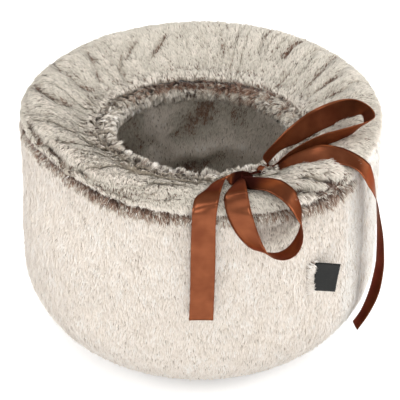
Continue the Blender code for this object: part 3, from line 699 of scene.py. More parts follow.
def layStrands(name, strands, spec, dice, body):
    # One tapered strand, laid out at every root in one mesh
    root, normal, lay, lift, length, tone, clump = strands
    count, seed = len(root), spec["seed"]
    side = np.cross(normal, lay)
    broad, fine = (drift(root, size, seed + 1 + i) for i, size in enumerate(pile["swirlSizes"]))
    swirl = spec["swirl"] * (broad + 0.6 * fine) + spec["stray"] * dice.standard_normal(count)
    leaning = lay * np.cos(swirl)[:, None] + side * np.sin(swirl)[:, None]
    side = side * np.cos(swirl)[:, None] - lay * np.sin(swirl)[:, None]
    lift = lift + spec["tuft"] * drift(root, pile["tuftSize"], seed + 3)
    lift = np.radians(np.clip(lift + pile["liftSpread"] * dice.standard_normal(count), 4.0, 88.0))
    width = spec["width"] * (0.8 + 0.4 * dice.random(count))
    rise = np.sin(lift)[:, None] * normal
    run = np.cos(lift)[:, None] * leaning
    middle = root + 0.5 * length[:, None] * (run + rise)
    tip = root + length[:, None] * (pile["tipReach"] * run + pile["tipRise"] * rise)
    half = 0.5 * width[:, None] * side
    foot = root - pile["footDepth"] * normal
    wide = pile["footShare"] * half
    points = np.stack([foot - wide, foot + wide, middle - half, middle + half, tip], axis=1)
    tuft, tufts = gather(points, clump, root, seed + 7, spec["perTuft"])
    tone = tone + spec["tuftShades"] * dice.standard_normal(tufts)[tuft]
    points[..., 2] = np.maximum(points[..., 2], pile["lowest"])
    mesh = bpy.data.meshes.new(name)
    mesh.vertices.add(5 * count)
    mesh.vertices.foreach_set("co", points.astype(np.float32).ravel())
    first = 5 * np.arange(count)[:, None]
    loops = (first + np.array([1, 0, 2, 3, 3, 2, 4])).ravel()
    mesh.loops.add(loops.size)
    mesh.loops.foreach_set("vertex_index", loops.astype(np.int32))
    mesh.polygons.add(2 * count)
    starts = (7 * np.arange(count)[:, None] + np.array([0, 4])).ravel()
    mesh.polygons.foreach_set("loop_start", starts.astype(np.int32))
    mesh.update(calc_edges=True)
    bake = mesh.uv_layers.new(name="OFBake")
    u = np.clip(tone, 0.01, 0.99)[:, None] + np.array([1, -1, -1, 1, 1, -1, 0]) * 0.008
    v = np.broadcast_to(np.array([0.02, 0.02, 0.5, 0.5, 0.5, 0.5, 0.98]), u.shape)
    bake.data.foreach_set("uv", np.stack([u, v], axis=-1).astype(np.float32).ravel())
    mesh.polygons.foreach_set("use_smooth", np.ones(2 * count, bool))
    soft = unit(normal + 0.35 * leaning)
    mesh.normals_split_custom_set_from_vertices(np.repeat(soft, 5, axis=0).tolist())
    made = bpy.data.objects.new(name, mesh)
    bpy.context.scene.collection.objects.link(made)
    mesh.materials.append(finishes["fur"])
    if body:
        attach(made, body)


def growFur(name, spec, body):
    # Roots are strewn evenly over a surface, and the strands combed along its nap
    dice, surfaceAt = np.random.default_rng(spec["seed"]), spec["surface"]
    cellsRound, cellsDown = pile["cellsRound"], pile["cellsDown"]
    lines = np.linspace(-pi, pi, cellsRound + 1), np.linspace(0.0, 1.0, cellsDown + 1)
    gridAngle, gridShare = np.meshgrid(*lines, indexing="ij")
    corners = surfaceAt(gridAngle, gridShare)
    across = corners[1:, :-1] - corners[:-1, :-1]
    along = corners[:-1, 1:] - corners[:-1, :-1]
    weight = np.linalg.norm(np.cross(across, along), axis=-1)
    if "thick" in spec:
        weight = weight * spec["thick"](np.degrees(gridAngle[:-1, :-1]), gridShare[:-1, :-1])
    weight = weight.ravel() / weight.sum()
    cell = np.sort(dice.choice(weight.size, spec["count"], p=weight))
    angle = -pi + (cell // cellsDown + dice.random(cell.size)) * (2 * pi / cellsRound)
    share = (cell % cellsDown + dice.random(cell.size)) / cellsDown
    root = surfaceAt(angle, share)
    aroundWay = unit(surfaceAt(angle + 1e-3, share) - surfaceAt(angle - 1e-3, share))
    after, before = np.minimum(share + 1e-3, 1.0), np.maximum(share - 1e-3, 0.0)
    alongWay = unit(surfaceAt(angle, after) - surfaceAt(angle, before))
    normal = unit(np.cross(aroundWay, alongWay))
    turn = np.degrees(angle)
    crease = spec["crease"](angle, share) if "crease" in spec else 0.0 * turn
    crease = np.clip(crease, -0.6, 1.2)
    ways = spec["lay"](turn, share)
    lay = unit(alongWay * np.asarray(ways[0])[..., None] + aroundWay * np.asarray(ways[1])[..., None])
    length = spec["length"](turn, share) * np.clip(1.0 + 0.2 * dice.standard_normal(cell.size), 0.5, 1.5)
    tone = spec["tone"](turn, share) + spec["shades"] * dice.standard_normal(cell.size)
    # painted shade and light: the tone is darker in the creases and lighter on the ridges and banks beside
    # them, as the light falls across them
    tone = tone + spec["clouds"] * drift(root, pile["cloudSize"], spec["seed"] + 4) - spec["paintedCreaseShade"] * crease
    # some strands are brown to the tip where the pile parts, in loose clusters and along creases
    cluster = np.clip(1.0 + 2.2 * drift(root, pile["fleckSize"], spec["seed"] + 5), 0.02, 3.0)
    chance = (spec["flecks"](turn, share) + 0.9 * np.maximum(crease - 0.14, 0.0) ** 1.2) * cluster
    dark = dice.random(cell.size) < chance
    tone = np.where(dark, spec["fleckTone"] + 0.08 * dice.standard_normal(cell.size), tone)
    length = np.where(dark, 0.7 * length, length)
    lift = spec["lift"](turn, share) + np.where(dark, 12.0, 0.0)
    clump = spec["clump"](turn, share) + 0.25 * np.maximum(crease, 0.0)
    pieces = -(-cell.size // pile["perPiece"])
    for k in range(pieces):
        part = slice(k * cell.size // pieces, (k + 1) * cell.size // pieces)
        coat = name if pieces == 1 else name + "ABCDEFGH"[k]
        strands = [values[part] for values in (root, normal, lay, lift, length, tone, clump)]
        layStrands(coat, strands, spec, dice, body)
    print(name, "grown,", cell.size, "strands")


def level(value):
    return lambda turn, share: np.full(np.shape(turn), value)


def paleLitSide(turn):
    # 1 on the smooth right side, where the pile lies flat and shows no brown. Its paler tone there is partly
    # the pile's own, partly painted highlight for the strong light on that side.
    return ease(turn, -44.0, -36.0) * ease(turn, 60.0, 20.0)


def frontLeft(turn):
    return bell(turn, -150.0, 32.0)


def paintedLoopShadow(turn, share):
    # Painted shadow of the front loop: the wall below the seam inside the loop is painted darker, with more
    # brown flecks
    return bell(turn, -64.0, 9.0) * ease(share, 0.80, 0.90)


def besideLabel(turn, share):
    # The strip of wall along the label's sewn edge
    return 1.0 * (turn > -57.2) * (turn < -55.0) * (share > 0.56) * (share < 0.71)


# Each coat's surface, then how its strands are strewn, leaned, coloured and drawn into tufts, with
# turns and lifts in degrees and tones from 0, brown, to 1, cream
fur = {
    "wallFur": {
        "surface": wallAt,
        "seed": 11,
        "paintedCreaseShade": 0.1,
        "count": 160000,
        "width": 0.00068,
        "swirl": 0.26,
        "stray": 0.18,
        "tuft": 5.0,
        "perTuft": 12,
        "tuftShades": 0.012,
        "lay": lambda turn, share: (-1.0 + 0.0 * turn, 0.0 * turn),
        "lift": level(12.0),
        "length": lambda turn, share: 0.0080 - 0.004 * ease(share, 0.08, 0.0),
        # the tone is paler on the right side, partly painted highlight, and darker inside the front loop as
        # its painted shadow
        "tone": lambda turn, share: 0.92
        + 0.08 * paleLitSide(turn)
        - 0.20 * ease(share, 0.96, 1.0) * (1.0 - paleLitSide(turn))
        - 0.14 * paintedLoopShadow(turn, share),
        "shades": 0.03,
        "clouds": 0.03,
        # more brown flecks inside the front loop, as part of its painted shadow
        "flecks": lambda turn, share: (
            0.03 + 0.05 * ease(share, 0.75, 0.97)
        ) * (1.0 - 0.9 * paleLitSide(turn)) * (1.0 - 0.6 * bell(turn, -155.0, 30.0))
        + 0.35 * paintedLoopShadow(turn, share),
        "fleckTone": 0.60,
        "clump": lambda turn, share: 0.18 - 0.08 * paleLitSide(turn) + 0.3 * ease(share, 0.9, 1.0),
    },
    "seamFur": {
        "surface": wallAt,
        "seed": 15,
        "paintedCreaseShade": 0.1,
        "count": 30000,
        "width": 0.00075,
        "swirl": 0.5,
        "stray": 0.30,
        "tuft": 18.0,
        "perTuft": 18,
        "tuftShades": 0.10,
        "thick": lambda turn, share: (share > 0.950) * (1.0 - paleLitSide(turn)),
        "lay": lambda turn, share: (-1.0 + 0.0 * turn, 0.0 * turn),
        "lift": lambda turn, share: 20.0
        + 18.0 * bell(turn, -52.0, 14.0)
        + 8.0 * bell(turn, -110.0, 22.0)
        - 8.0 * bell(turn, 180.0, 14.0),
        "length": lambda turn, share: (
            0.0078 + 0.0045 * bell(turn, -52.0, 14.0) + 0.002 * bell(turn, -110.0, 22.0)
        ) * (1.0 - 0.35 * bell(turn, 180.0, 14.0)),
        "tone": lambda turn, share: 0.84
        - 0.44 * ease(share, 0.960, 0.985) * (0.4 + 0.6 * bell(turn, -125.0, 60.0))
        - 0.20 * ease(share, 0.985, 0.998) * bell(turn, -135.0, 60.0)
        - 0.24 * bell(turn, -52.0, 14.0) * ease(share, 0.950, 0.975),
        "shades": 0.20,
        "clouds": 0.12,
        "flecks": level(0.0),
        "fleckTone": 0.1,
        "clump": level(0.6),
    },
    "collarFur": {
        "surface": collarAt,
        "seed": 21,
        "paintedCreaseShade": 0.16,
        "count": 118000,
        "width": 0.00085,
        "swirl": 0.32,
        "stray": 0.20,
        "tuft": 6.0,
        "perTuft": 20,
        "tuftShades": 0.025,
        "crease": collarCrease,
        "lay": lambda turn, share: (
            -1.0 + 0.0 * turn, 0.35 + 2.6 * frontLeft(turn) * ease(share, 0.13, 0.03)
        ),
        "lift": lambda turn, share: 14.0 + 26.0 * ease(share, 0.86, 0.96) + 7.0 * bell(turn, -50.0, 18.0),
        "length": lambda turn, share: 0.0064
        + 0.0004 * ease(share, 0.9, 1.0)
        + 0.002 * bell(turn, -50.0, 18.0) * ease(share, 0.6, 0.3),
        # the rim on the right side is paler, partly painted highlight for the strong light there
        "tone": lambda turn, share: 0.68
        + 0.12 * ease(share, 0.10, 0.0)
        + 0.08 * ease(share, 0.88, 0.97)
        + 0.04 * bell(turn, -45.0, 25.0)
        + 0.06 * bell(turn, -125.0, 28.0)
        + 0.28 * paleLitSide(turn) * ease(share, 0.13, 0.05),
        "shades": 0.05,
        "clouds": 0.05,
        "flecks": lambda turn, share: (
            0.014
            + 0.10 * frontLeft(turn) * ease(share, 0.10, 0.02)
            + 0.10 * ease(share, 0.8, 0.97)
            + 0.10 * bell(turn, -50.0, 15.0) * ease(share, 0.5, 0.3)
            + 0.06 * bell(turn, -14.0, 20.0)
        )
        * (1.0 - 0.95 * paleLitSide(turn) * ease(share, 0.11, 0.05)),
        "fleckTone": 0.14,
        "clump": lambda turn, share: 0.22 + 0.24 * ease(share, 0.86, 0.95) + 0.08 * bell(turn, -50.0, 18.0),
    },
    "labelFur": {
        "surface": wallAt,
        "seed": 91,
        "paintedCreaseShade": 0.1,
        "count": 800,
        "width": 0.00070,
        "swirl": 0.4,
        "stray": 0.30,
        "tuft": 8.0,
        "perTuft": 8,
        "tuftShades": 0.03,
        "thick": besideLabel,
        "lay": lambda turn, share: (-0.5 + 0.0 * turn, 1.0 + 0.0 * turn),
        "lift": level(42.0),
        "length": lambda turn, share: 0.0068 + 0.004 * ease(share, 0.660, 0.690),
        "tone": level(0.90),
        "shades": 0.05,
        "clouds": 0.03,
        "flecks": level(0.08),
        "fleckTone": 0.45,
        "clump": level(0.3),
    },
    "ruffleFur": {
        "surface": ruffleAt,
        "seed": 31,
        "paintedCreaseShade": 0.1,
        "count": 62000,
        "width": 0.00075,
        "swirl": 1.0,
        "stray": 0.60,
        "tuft": 18.0,
        "perTuft": 26,
        "tuftShades": 0.08,
        "lay": lambda turn, share: (
            1.0 - 2.0 * ease(share, 0.40, 0.15),
            0.2 + 3.0 * bell(turn, 95.0, 45.0) * ease(share, 0.45, 0.25),
        ),
        "lift": lambda turn, share: 36.0
        + 4.0 * bell(turn, -120.0, 60.0)
        - 16.0 * bell(turn, 92.0, 45.0) * ease(share, 0.45, 0.25),
        "length": lambda turn, share: 0.0078
        + 0.0026 * bell(turn, -120.0, 60.0)
        - 0.002 * bell(turn, 92.0, 45.0) * ease(share, 0.45, 0.25),
        "tone": lambda turn, share: 0.63
        + 0.05 * bell(turn, 165.0, 50.0)
        - 0.26 * bell(turn, 52.0, 26.0)
        + (
            0.10
            + 0.08 * bell(turn, 165.0, 50.0)
            + 0.22 * bell(turn, 45.0, 22.0)
            - 0.08 * bell(turn, 95.0, 25.0)
        ) * ruffleLump(np.radians(turn))
        - 0.56 * bell(turn, 95.0, 48.0) * ease(share, 0.54, 0.44) * ease(share, 0.20, 0.28)
        - 0.20 * ease(share, 0.16, 0.0),
        "shades": 0.10,
        "clouds": 0.12,
        "flecks": lambda turn, share: 0.09
        + (0.2 + 0.5 * bell(turn, 160.0, 40.0)) * ease(-ruffleLump(np.radians(turn)), 0.3, 0.9),
        "fleckTone": 0.10,
        "clump": level(0.55),
    },
    "liningFur": {
        "surface": liningAt,
        "seed": 41,
        "paintedCreaseShade": 0.24,
        "count": 96000,
        "width": 0.00080,
        "thick": lambda turn, share: (0.03 + ease(share, 0.84, 0.74)) * (
            1.0 + 2.5 * ease(bell(turn, 90.0, 110.0), 0.3, 0.7)
        ),
        "swirl": 0.35,
        "stray": 0.22,
        "tuft": 7.0,
        "perTuft": 20,
        "tuftShades": 0.02,
        "crease": liningCrease,
        "lay": lambda turn, share: (1.0 + 0.0 * turn, 0.1 + 0.0 * turn),
        "lift": level(16.0),
        "length": level(0.0072),
        # painted light: the back right of the inside, which the light reaches through the mouth, is painted
        # paler
        "tone": lambda turn, share: 0.73 + 0.12 * bell(turn, 35.0, 30.0),
        "shades": 0.05,
        "clouds": 0.05,
        "flecks": level(0.015),
        "fleckTone": 0.34,
        "clump": level(0.22),
    },
}
for name, spec in fur.items():
    body = None if name == "labelFur" else "bed"
    growFur(name, spec, body)
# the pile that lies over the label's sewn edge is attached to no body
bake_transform(bpy.data.objects["labelFur"])

cushion = {
    "radius": 0.1440,
    "middle": 0.0475,
    "top": 0.0330,
    "bottom": 0.0105,
    "roof": 0.0830,
    "floor": 0.0353,
}


def blowUp(made):
    # A short cloth simulation under light pressure: the sewn rim stays where it is and puckers
    scene = bpy.context.scene
    even = made.modifiers.new("even", "REMESH")
    even.mode, even.voxel_size = "VOXEL", 0.005
    made.data = bpy.data.meshes.new_from_object(made.evaluated_get(bpy.context.evaluated_depsgraph_get()))
    made.modifiers.clear()
    start = np.array([point.co for point in made.data.vertices])
    rim = np.hypot(start[:, 0], start[:, 1]) > cushion["radius"] - 0.004
    made.vertex_groups.new(name="seam").add([int(i) for i in np.flatnonzero(rim)], 1.0, "REPLACE")
    cloth = made.modifiers.new("filling", "CLOTH")
    cloth.settings.use_pressure = True
    cloth.settings.uniform_pressure_force = 4.0
    cloth.settings.effector_weights.gravity = 0.0
    cloth.settings.vertex_group_mass = "seam"
    cloth.settings.tension_stiffness = cloth.settings.compression_stiffness = 8.0
    cloth.settings.shrink_min = -0.05
    cloth.point_cache.frame_end = 20
    for frameNumber in range(1, 21):
        scene.frame_set(frameNumber)
    filled = made.evaluated_get(bpy.context.evaluated_depsgraph_get())
    end = np.array([point.co for point in filled.data.vertices])
    made.modifiers.clear()
    made.vertex_groups.clear()
    scene.frame_set(1)
    move = end - start
    far = np.maximum(np.linalg.norm(move, axis=1, keepdims=True), 1e-9)
    end = start + move * np.minimum(0.008 / far, 1.0)
    reach = np.maximum(np.hypot(end[:, 0], end[:, 1]) / (cushion["radius"] + 0.0015), 1.0)
    end[:, :2] /= reach[:, None]
    end[:, 2] = np.clip(end[:, 2], cushion["floor"], cushion["roof"])
    made.data.vertices.foreach_set("co", end.astype(np.float32).ravel())
    print("cushion filled, moved up to", round(float(far.max()) * 1000, 1), "mm")


def makeCushion():
    # Two round panels sewn at the rim, softly filled; the plush is on the upper one
    turns = np.linspace(-pi / 2, pi / 2, 31)
    rises = [sin(t) * cushion["top" if t > 0 else "bottom"] for t in turns]
    profile = [
        (cushion["radius"] * cos(t) ** 0.55, cushion["middle"] + rise) for t, rise in zip(turns, rises)
    ]

    def pillowAt(angle, share):
        radius, height = alongLine(profile, share)
        rim = ease(radius, 0.10, cushion["radius"])
        radius = radius + 0.0012 * rim * np.sin(34.0 * angle + 2.0 * np.sin(3.0 * angle))
        ring = np.stack([radius * np.cos(angle), radius * np.sin(angle), height], axis=-1)
        height = height + 0.003 * drift(ring, 0.05, 71) * (share > 0.5)
        return np.stack([ring[..., 0], ring[..., 1], height], axis=-1)

    whole = sleeve("cushionTop", pillowAt, 160, 70, "liningSkin", "cushion")
    blowUp(whole)
    shape = bmesh.new()
    shape.from_mesh(whole.data)
    bmesh.ops.recalc_face_normals(shape, faces=shape.faces)
    lay = shape.verts.layers.float_vector.get("lay") or shape.verts.layers.float_vector.new("lay")
    for point in shape.verts:
        point[lay] = point.co
    under = shape.copy()
    for half, isLower in ((shape, True), (under, False)):
        other = [f for f in half.faces if (f.calc_center_median().z < cushion["middle"]) == isLower]
        bmesh.ops.delete(half, geom=other, context="FACES")
    shape.to_mesh(whole.data)
    look = BVHTree.FromBMesh(shape)
    shape.free()
    whole.data.shade_smooth()
    lower = keep("cushionBottom", under, "base", "cushion")
    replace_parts(whole, "cushion_top_panel", "cushion_filling")
    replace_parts(lower, "cushion_bottom_panel")
    heights = np.zeros((121, 41))
    for i, angle in enumerate(np.linspace(-pi, pi, 121)):
        for k, radius in enumerate(np.linspace(cushion["radius"] - 0.003, 0.0, 41)):
            hit = look.ray_cast((radius * cos(angle), radius * sin(angle), 0.2), (0, 0, -1))[0]
            heights[i, k] = hit.z if hit else cushion["middle"]

    def topAt(angle, share):
        # The filled panel's height, read between the grid's points
        i = np.clip((angle + pi) / (2 * pi) * 120, 0, 119.999)
        k = np.clip(share * 40, 0, 39.999)
        a, b = i.astype(int), k.astype(int)
        u, v = i - a, k - b
        near = heights[a, b] * (1 - v) + heights[a, b + 1] * v
        far = heights[a + 1, b] * (1 - v) + heights[a + 1, b + 1] * v
        height = near * (1 - u) + far * u
        radius = (cushion["radius"] - 0.003) * (1.0 - share)
        return np.stack([radius * np.cos(angle), radius * np.sin(angle), height], axis=-1)

    # the lining's plush, combed one way right across
    # the cushion's plush keeps the lining's tone, with the back right painted paler as painted light
    spec = dict(fur["liningFur"], surface=topAt, seed=81, count=30000)
    spec["crease"] = lambda angle, share: 0.0 * angle
    spec["lay"] = lambda turn, share: (np.sin(np.radians(turn)), -np.cos(np.radians(turn)))
    growFur("cushionFur", spec, "cushion")


makeCushion()

# Each row is a point of the ribbon's middle line and its half width, in millimetres
ribbonRoutes = {
    "frontLoop": [
        (64.9, -101.3, 238.9, -1.7, -1.1, -0.0),
        (67.1, -104.6, 238.9, -1.7, -1.1, -0.0),
        (56.0, -107.0, 240.5, -1.4, 1.0, -0.2),
        (44.0, -121.7, 246.0, -1.3, 1.5, -0.4),
        (39.8, -163.6, 262.9, -5.2, 3.0, -2.5),
        (35.9, -190.4, 269.7, -9.7, 4.7, -3.9),
        (35.0, -197.1, 266.1, -11.8, 3.3, -2.7),
        (36.7, -200.4, 256.3, -12.1, 2.0, -2.2),
        (39.6, -203.5, 246.6, -11.4, 2.9, -4.2),
        (46.5, -204.1, 229.1, -9.3, 5.4, -6.4),
        (56.5, -207.2, 214.6, -5.4, 8.6, -7.3),
        (67.9, -209.0, 207.6, -1.0, 11.4, -5.1),
        (79.8, -208.1, 204.9, -2.0, 11.9, -3.3),
        (91.1, -202.8, 207.9, -2.7, 11.9, -2.7),
        (98.4, -194.8, 216.5, -2.0, 12.0, -3.1),
        (100.1, -188.9, 226.8, -0.2, 11.4, -5.1),
        (97.8, -185.9, 238.4, 3.2, 11.6, -3.4),
        (93.6, -184.5, 248.8, 5.2, 11.0, -2.8),
        (87.1, -180.2, 257.7, 6.6, 10.6, -0.7),
        (77.3, -172.0, 261.6, 5.4, 11.2, 0.9),
        (66.7, -166.6, 262.6, 3.5, 12.0, 0.1),
        (55.4, -163.4, 261.7, 1.0, 12.5, -0.3),
        (47.2, -158.8, 259.7, -0.5, 12.5, -0.1),
        (42.6, -147.3, 254.2, -0.5, 9.0, -0.4),
        (46.5, -124.0, 247.5, -0.6, 2.5, 0.0),
        (60.0, -105.0, 240.5, -0.8, 1.8, 0.0),
        (66.5, -99.0, 238.9, -1.1, 1.7, 0.0),
    ],
    "upperLoop": [
        (68.2, -90.1, 238.9, 1.0, -1.5, 0.0),
        (71.5, -87.8, 238.9, 1.0, -1.5, 0.0),
        (69.5, -83.3, 243.2, -3.7, -2.4, 4.1),
        (82.1, -68.1, 249.9, -4.2, -5.2, 7.4),
        (101.8, -44.6, 251.6, -4.8, -1.9, 11.4),
        (124.8, -29.6, 259.7, -3.7, 2.8, 11.6),
        (147.4, -28.3, 270.0, -2.1, 1.8, 12.2),
        (163.4, -35.2, 277.8, 0.0, -3.1, 12.1),
        (174.8, -46.5, 280.3, 3.2, -8.1, 9.0),
        (177.0, -60.4, 277.0, 4.4, -8.5, 8.0),
        (166.5, -70.1, 275.2, 0.0, -9.6, 8.1),
        (149.8, -75.6, 269.1, -2.1, -7.2, 10.0),
        (126.3, -80.3, 262.2, -3.6, -6.0, 10.4),
        (98.5, -85.1, 249.7, -3.6, -7.6, 9.3),
        (74.0, -91.6, 238.9, 1.0, -1.5, 0.0),
        (70.7, -93.9, 238.9, 1.0, -1.5, 0.0),
    ],
    "leftTail": [
        (59.7, -98.5, 234.5, 1.5, -2.3, 0.0),
        (56.4, -100.7, 234.5, 1.5, -2.3, 0.0),
        (50.6, -134.6, 252.5, 0.0, -6.4, -1.0),
        (40.9, -139.2, 255.0, -0.5, -10.0, -0.8),
        (32.6, -150.3, 259.5, -1.5, -12.0, -0.1),
        (27.4, -148.6, 260.0, -1.3, -2.5, -1.1),
        (19.0, -160.6, 261.8, 4.7, -3.3, 1.8),
        (13.4, -180.5, 265.2, 7.5, -4.3, 2.5),
        (7.5, -192.7, 263.6, 11.4, -4.4, 2.5),
        (5.4, -201.2, 260.3, 12.1, -2.7, 1.5),
        (4.3, -205.0, 253.2, 12.0, -0.1, -0.2),
        (3.6, -206.5, 242.1, 11.8, 0.0, 0.0),
        (3.2, -207.5, 225.0, 12.1, 0.0, 0.0),
        (2.9, -207.9, 196.7, 12.3, 0.0, 0.0),
        (2.2, -207.7, 158.9, 12.2, 0.0, 0.0),
        (1.2, -208.3, 126.3, 12.3, 0.0, 0.0),
    ],
    "rightTail": [
        (69.0, -92.3, 234.5, -1.5, 2.3, 0.0),
        (72.3, -90.1, 234.5, -1.5, 2.3, 0.0),
        (82.1, -96.3, 240.5, -2.1, 5.6, -0.5),
        (92.8, -110.3, 253.0, -2.6, 12.2, 0.6),
        (106.8, -111.8, 260.0, -1.5, 12.1, 2.8),
        (125.0, -111.0, 263.9, -1.5, 11.1, 5.6),
        (145.9, -112.4, 263.3, -1.0, 12.0, 3.5),
        (161.4, -114.4, 256.5, 2.0, 12.2, 1.8),
        (170.6, -115.2, 247.5, 3.6, 11.8, 2.1),
        (175.1, -114.7, 238.2, 3.3, 12.0, 1.4),
        (179.9, -113.6, 226.2, 2.1, 12.3, -0.6),
        (184.0, -108.9, 211.1, 0.5, 12.4, -1.8),
        (188.0, -102.3, 189.7, -0.2, 12.1, -2.9),
        (192.1, -99.9, 161.7, -1.7, 11.6, -4.2),
        (194.2, -100.1, 136.1, -2.5, 11.4, -4.5),
        (195.0, -96.8, 113.6, -3.0, 11.2, -4.6),
        (191.2, -98.6, 84.1, -3.8, 10.7, -5.2),
        (183.0, -98.7, 57.0, -2.9, 10.9, -5.0),
        (173.2, -98.1, 37.1, -1.2, 11.5, -2.5),
    ],
}


def smoothRoute(rows, steps):
    # Catmull-Rom between the rows, in metres
    rows = np.array(rows) / 1000.0
    found = []
    for i in range(len(rows) - 1):
        a, b, c, d = (rows[min(max(i + k, 0), len(rows) - 1)] for k in (-1, 0, 1, 2))
        for t in np.arange(steps) / steps:
            bend = (2 * a - 5 * b + 4 * c - d) * t**2 + (3 * b - a - 3 * c + d) * t**3
            found.append(0.5 * (2 * b + (c - a) * t + bend))
    return np.array(found + [rows[-1]])


ribbon = {"width": 0.025, "thickness": 0.0005, "steps": 8, "across": 8, "curl": 0.0006}


def makeStrip(name, rows, body, paintedFoldShade):
    # A flat grid that is laid along the route, slightly curled across, then given its thickness
    route = smoothRoute(rows, ribbon["steps"])
    spots, halves = route[:, :3], route[:, 3:]
    steps = np.linalg.norm(np.diff(spots, axis=0), axis=1)
    reached = np.concatenate([[0.0], np.cumsum(steps)])
    facing = unit(np.cross(halves, unit(np.gradient(spots, axis=0))))
    shape = bmesh.new()
    bmesh.ops.create_grid(shape, x_segments=ribbon["across"], y_segments=len(spots) - 1, size=0.5)
    uv = shape.loops.layers.uv.new("strip")
    hollow = shape.verts.layers.float.new("hollow")
    for flat in shape.faces:
        for corner in flat.loops:
            row = round((corner.vert.co.y + 0.5) * (len(spots) - 1))
            corner[uv].uv = (corner.vert.co.x * ribbon["width"], reached[row])
    for point in shape.verts:
        across = 2.0 * point.co.x
        row = round((point.co.y + 0.5) * (len(spots) - 1))
        curl = ribbon["curl"] * (1.0 - across * across)
        # painted shade along the strip, dark where it lies deep in the bow's folds
        point[hollow] = float(np.interp(reached[row] / reached[-1], *zip(*paintedFoldShade)))
        point.co = spots[row] + halves[row] * across + facing[row] * curl
    made = keep(name, shape, "ribbon", body)
    wall = made.modifiers.new("thickness", "SOLIDIFY")
    wall.thickness = ribbon["thickness"]
    wall.offset = 0.0
    print(name, "is", round(reached[-1], 3), "m long")
    return made, reached[-1]


# Each strip's nodes, what moves it, its body, where a tail would bend between the bed and its hanging end,
# and the painted shade of the bow's folds along its length, dark brown where the strip lies deep in them
strips = {
    "frontLoop": (
        ["front_loop"],
        "gathered",
        "front_loop",
        None,
        [
            (0.0, 0.8),
            (0.17, 0.8),
            (0.22, 0.2),
            (0.28, 0.0),
            (0.68, 0.0),
            (0.75, 0.3),
            (0.80, 0.95),
            (1.0, 0.9),
        ],
    ),
    "upperLoop": (
        ["upper_loop"],
        "gathered",
        "upper_loop",
        None,
        [(0.0, 0.5), (0.1, 0.1), (0.38, 0.0), (0.47, 0.5), (0.52, 0.0), (0.9, 0.1), (1.0, 0.6)],
    ),
    "leftTail": (
        ["left_tail_top", "left_tail_end"],
        "hung",
        "left_tail",
        ((0.0036, -0.198, 0.262), (0.0036, -0.2085, 0.240)),
        [(0.0, 1.0), (0.25, 1.0), (0.29, 0.1), (0.38, 0.1), (0.43, 0.35), (0.47, 0.0), (1.0, 0.0)],
    ),
    "rightTail": (
        ["right_tail_top", "right_tail_end"],
        "hung",
        "right_tail",
        ((0.1638, -0.1084, 0.258), (0.1738, -0.1151, 0.232)),
        [(0.0, 0.6), (0.08, 0.1), (0.15, 0.0), (0.42, 0.0), (0.52, 0.45), (1.0, 0.45)],
    ),
}
for name, (nodes, held, body, bend, paintedFoldShade) in strips.items():
    strip, length = makeStrip(name, ribbonRoutes[name], None if bend else body, paintedFoldShade)
    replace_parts(strip, *nodes)
    if bend:
        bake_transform(strip)


def makeKnot():
    # The ribbon wrapped once round itself, with the fine pleats that the pull draws in it
    knot = {"middle": (0.06435, -0.0954, 0.2372), "halves": (0.0056, 0.0045, 0.0044)}
    knot.update(turn=-56.0, pleats=7.0)
    shape = bmesh.new()
    bmesh.ops.create_uvsphere(shape, u_segments=64, v_segments=32, radius=1.0, calc_uvs=False)
    uv = shape.loops.layers.uv.new("strip")
    for flat in shape.faces:
        for corner in flat.loops:
            corner[uv].uv = (
                corner.vert.co.x * 0.006, np.arctan2(corner.vert.co.z, corner.vert.co.y) * 0.0045
            )
    for point in shape.verts:
        x, y, z = point.co
        pleat = 1.0 + 0.09 * np.sin(knot["pleats"] * x + 1.5 * np.sin(3.0 * np.arctan2(z, y)))
        # nearly a barrel: its ends stay wide
        girth = pleat * (1.0 - 0.45 * abs(x) ** 3) / max((1.0 - x * x) ** 0.25, 0.2)
        point.co = (x * knot["halves"][0], y * girth * knot["halves"][1], z * girth * knot["halves"][2])
    bmesh.ops.rotate(
        shape, verts=shape.verts, cent=(0, 0, 0), matrix=Matrix.Rotation(radians(knot["turn"]), 3, "Z")
    )
    bmesh.ops.translate(shape, verts=shape.verts, vec=knot["middle"])
    bmesh.ops.recalc_face_normals(shape, faces=shape.faces)
    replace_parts(keep("ribbonKnot", shape, "ribbon", "bed"), "ribbon_knot")


def makeLabel():
    # A tape folded in two over its free edge, and sewn by both ends into the side seam; it stays blank
    tab = {"x": 0.1185, "y": -0.1612, "z": 0.1305, "width": 0.0240, "high": 0.0340}
    tab.update(fold=0.0005, lean=0.0040, bow=0.0018)
    shape = bmesh.new()
    bmesh.ops.create_grid(shape, x_segments=40, y_segments=18, size=0.5)
    for point in shape.verts:
        along, up = 2.0 * point.co.x, point.co.y + 0.5
        out = min((1.0 - abs(along)) * 1.04, 1.0)
        side = max(-1.0, min(1.0, along * 18.0))
        bow = tab["bow"] * out * out + 0.0006 * sin(5.0 * up + 2.0 * out)
        x = tab["x"] + tab["width"] * out + tab["lean"] * (up - 0.5) * out
        point.co = (x, tab["y"] - bow + side * tab["fold"], tab["z"] + tab["high"] * up)
    made = keep("sideLabel", shape, "label", "label")
    wall = made.modifiers.new("thickness", "SOLIDIFY")
    wall.thickness = 0.0004
    wall.offset = 0.0
    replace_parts(made, "side_label")


makeKnot()
makeLabel()
print("ribbon and label made")

# Soft boxes as where each one stands, its size in metres and its power in watts
lamps = {
    "key": ((0.1, -2.0, 1.1), 0.8, 9.5),
    "left": ((-1.7, -0.5, 1.0), 1.0, 11.0),
    "right": ((1.9, 0.0, 0.9), 1.0, 20.0),
    "top": ((-0.4, -0.5, 2.1), 0.9, 8.5),
    "back": ((0.4, 1.8, 1.4), 0.6, 4.0),
}
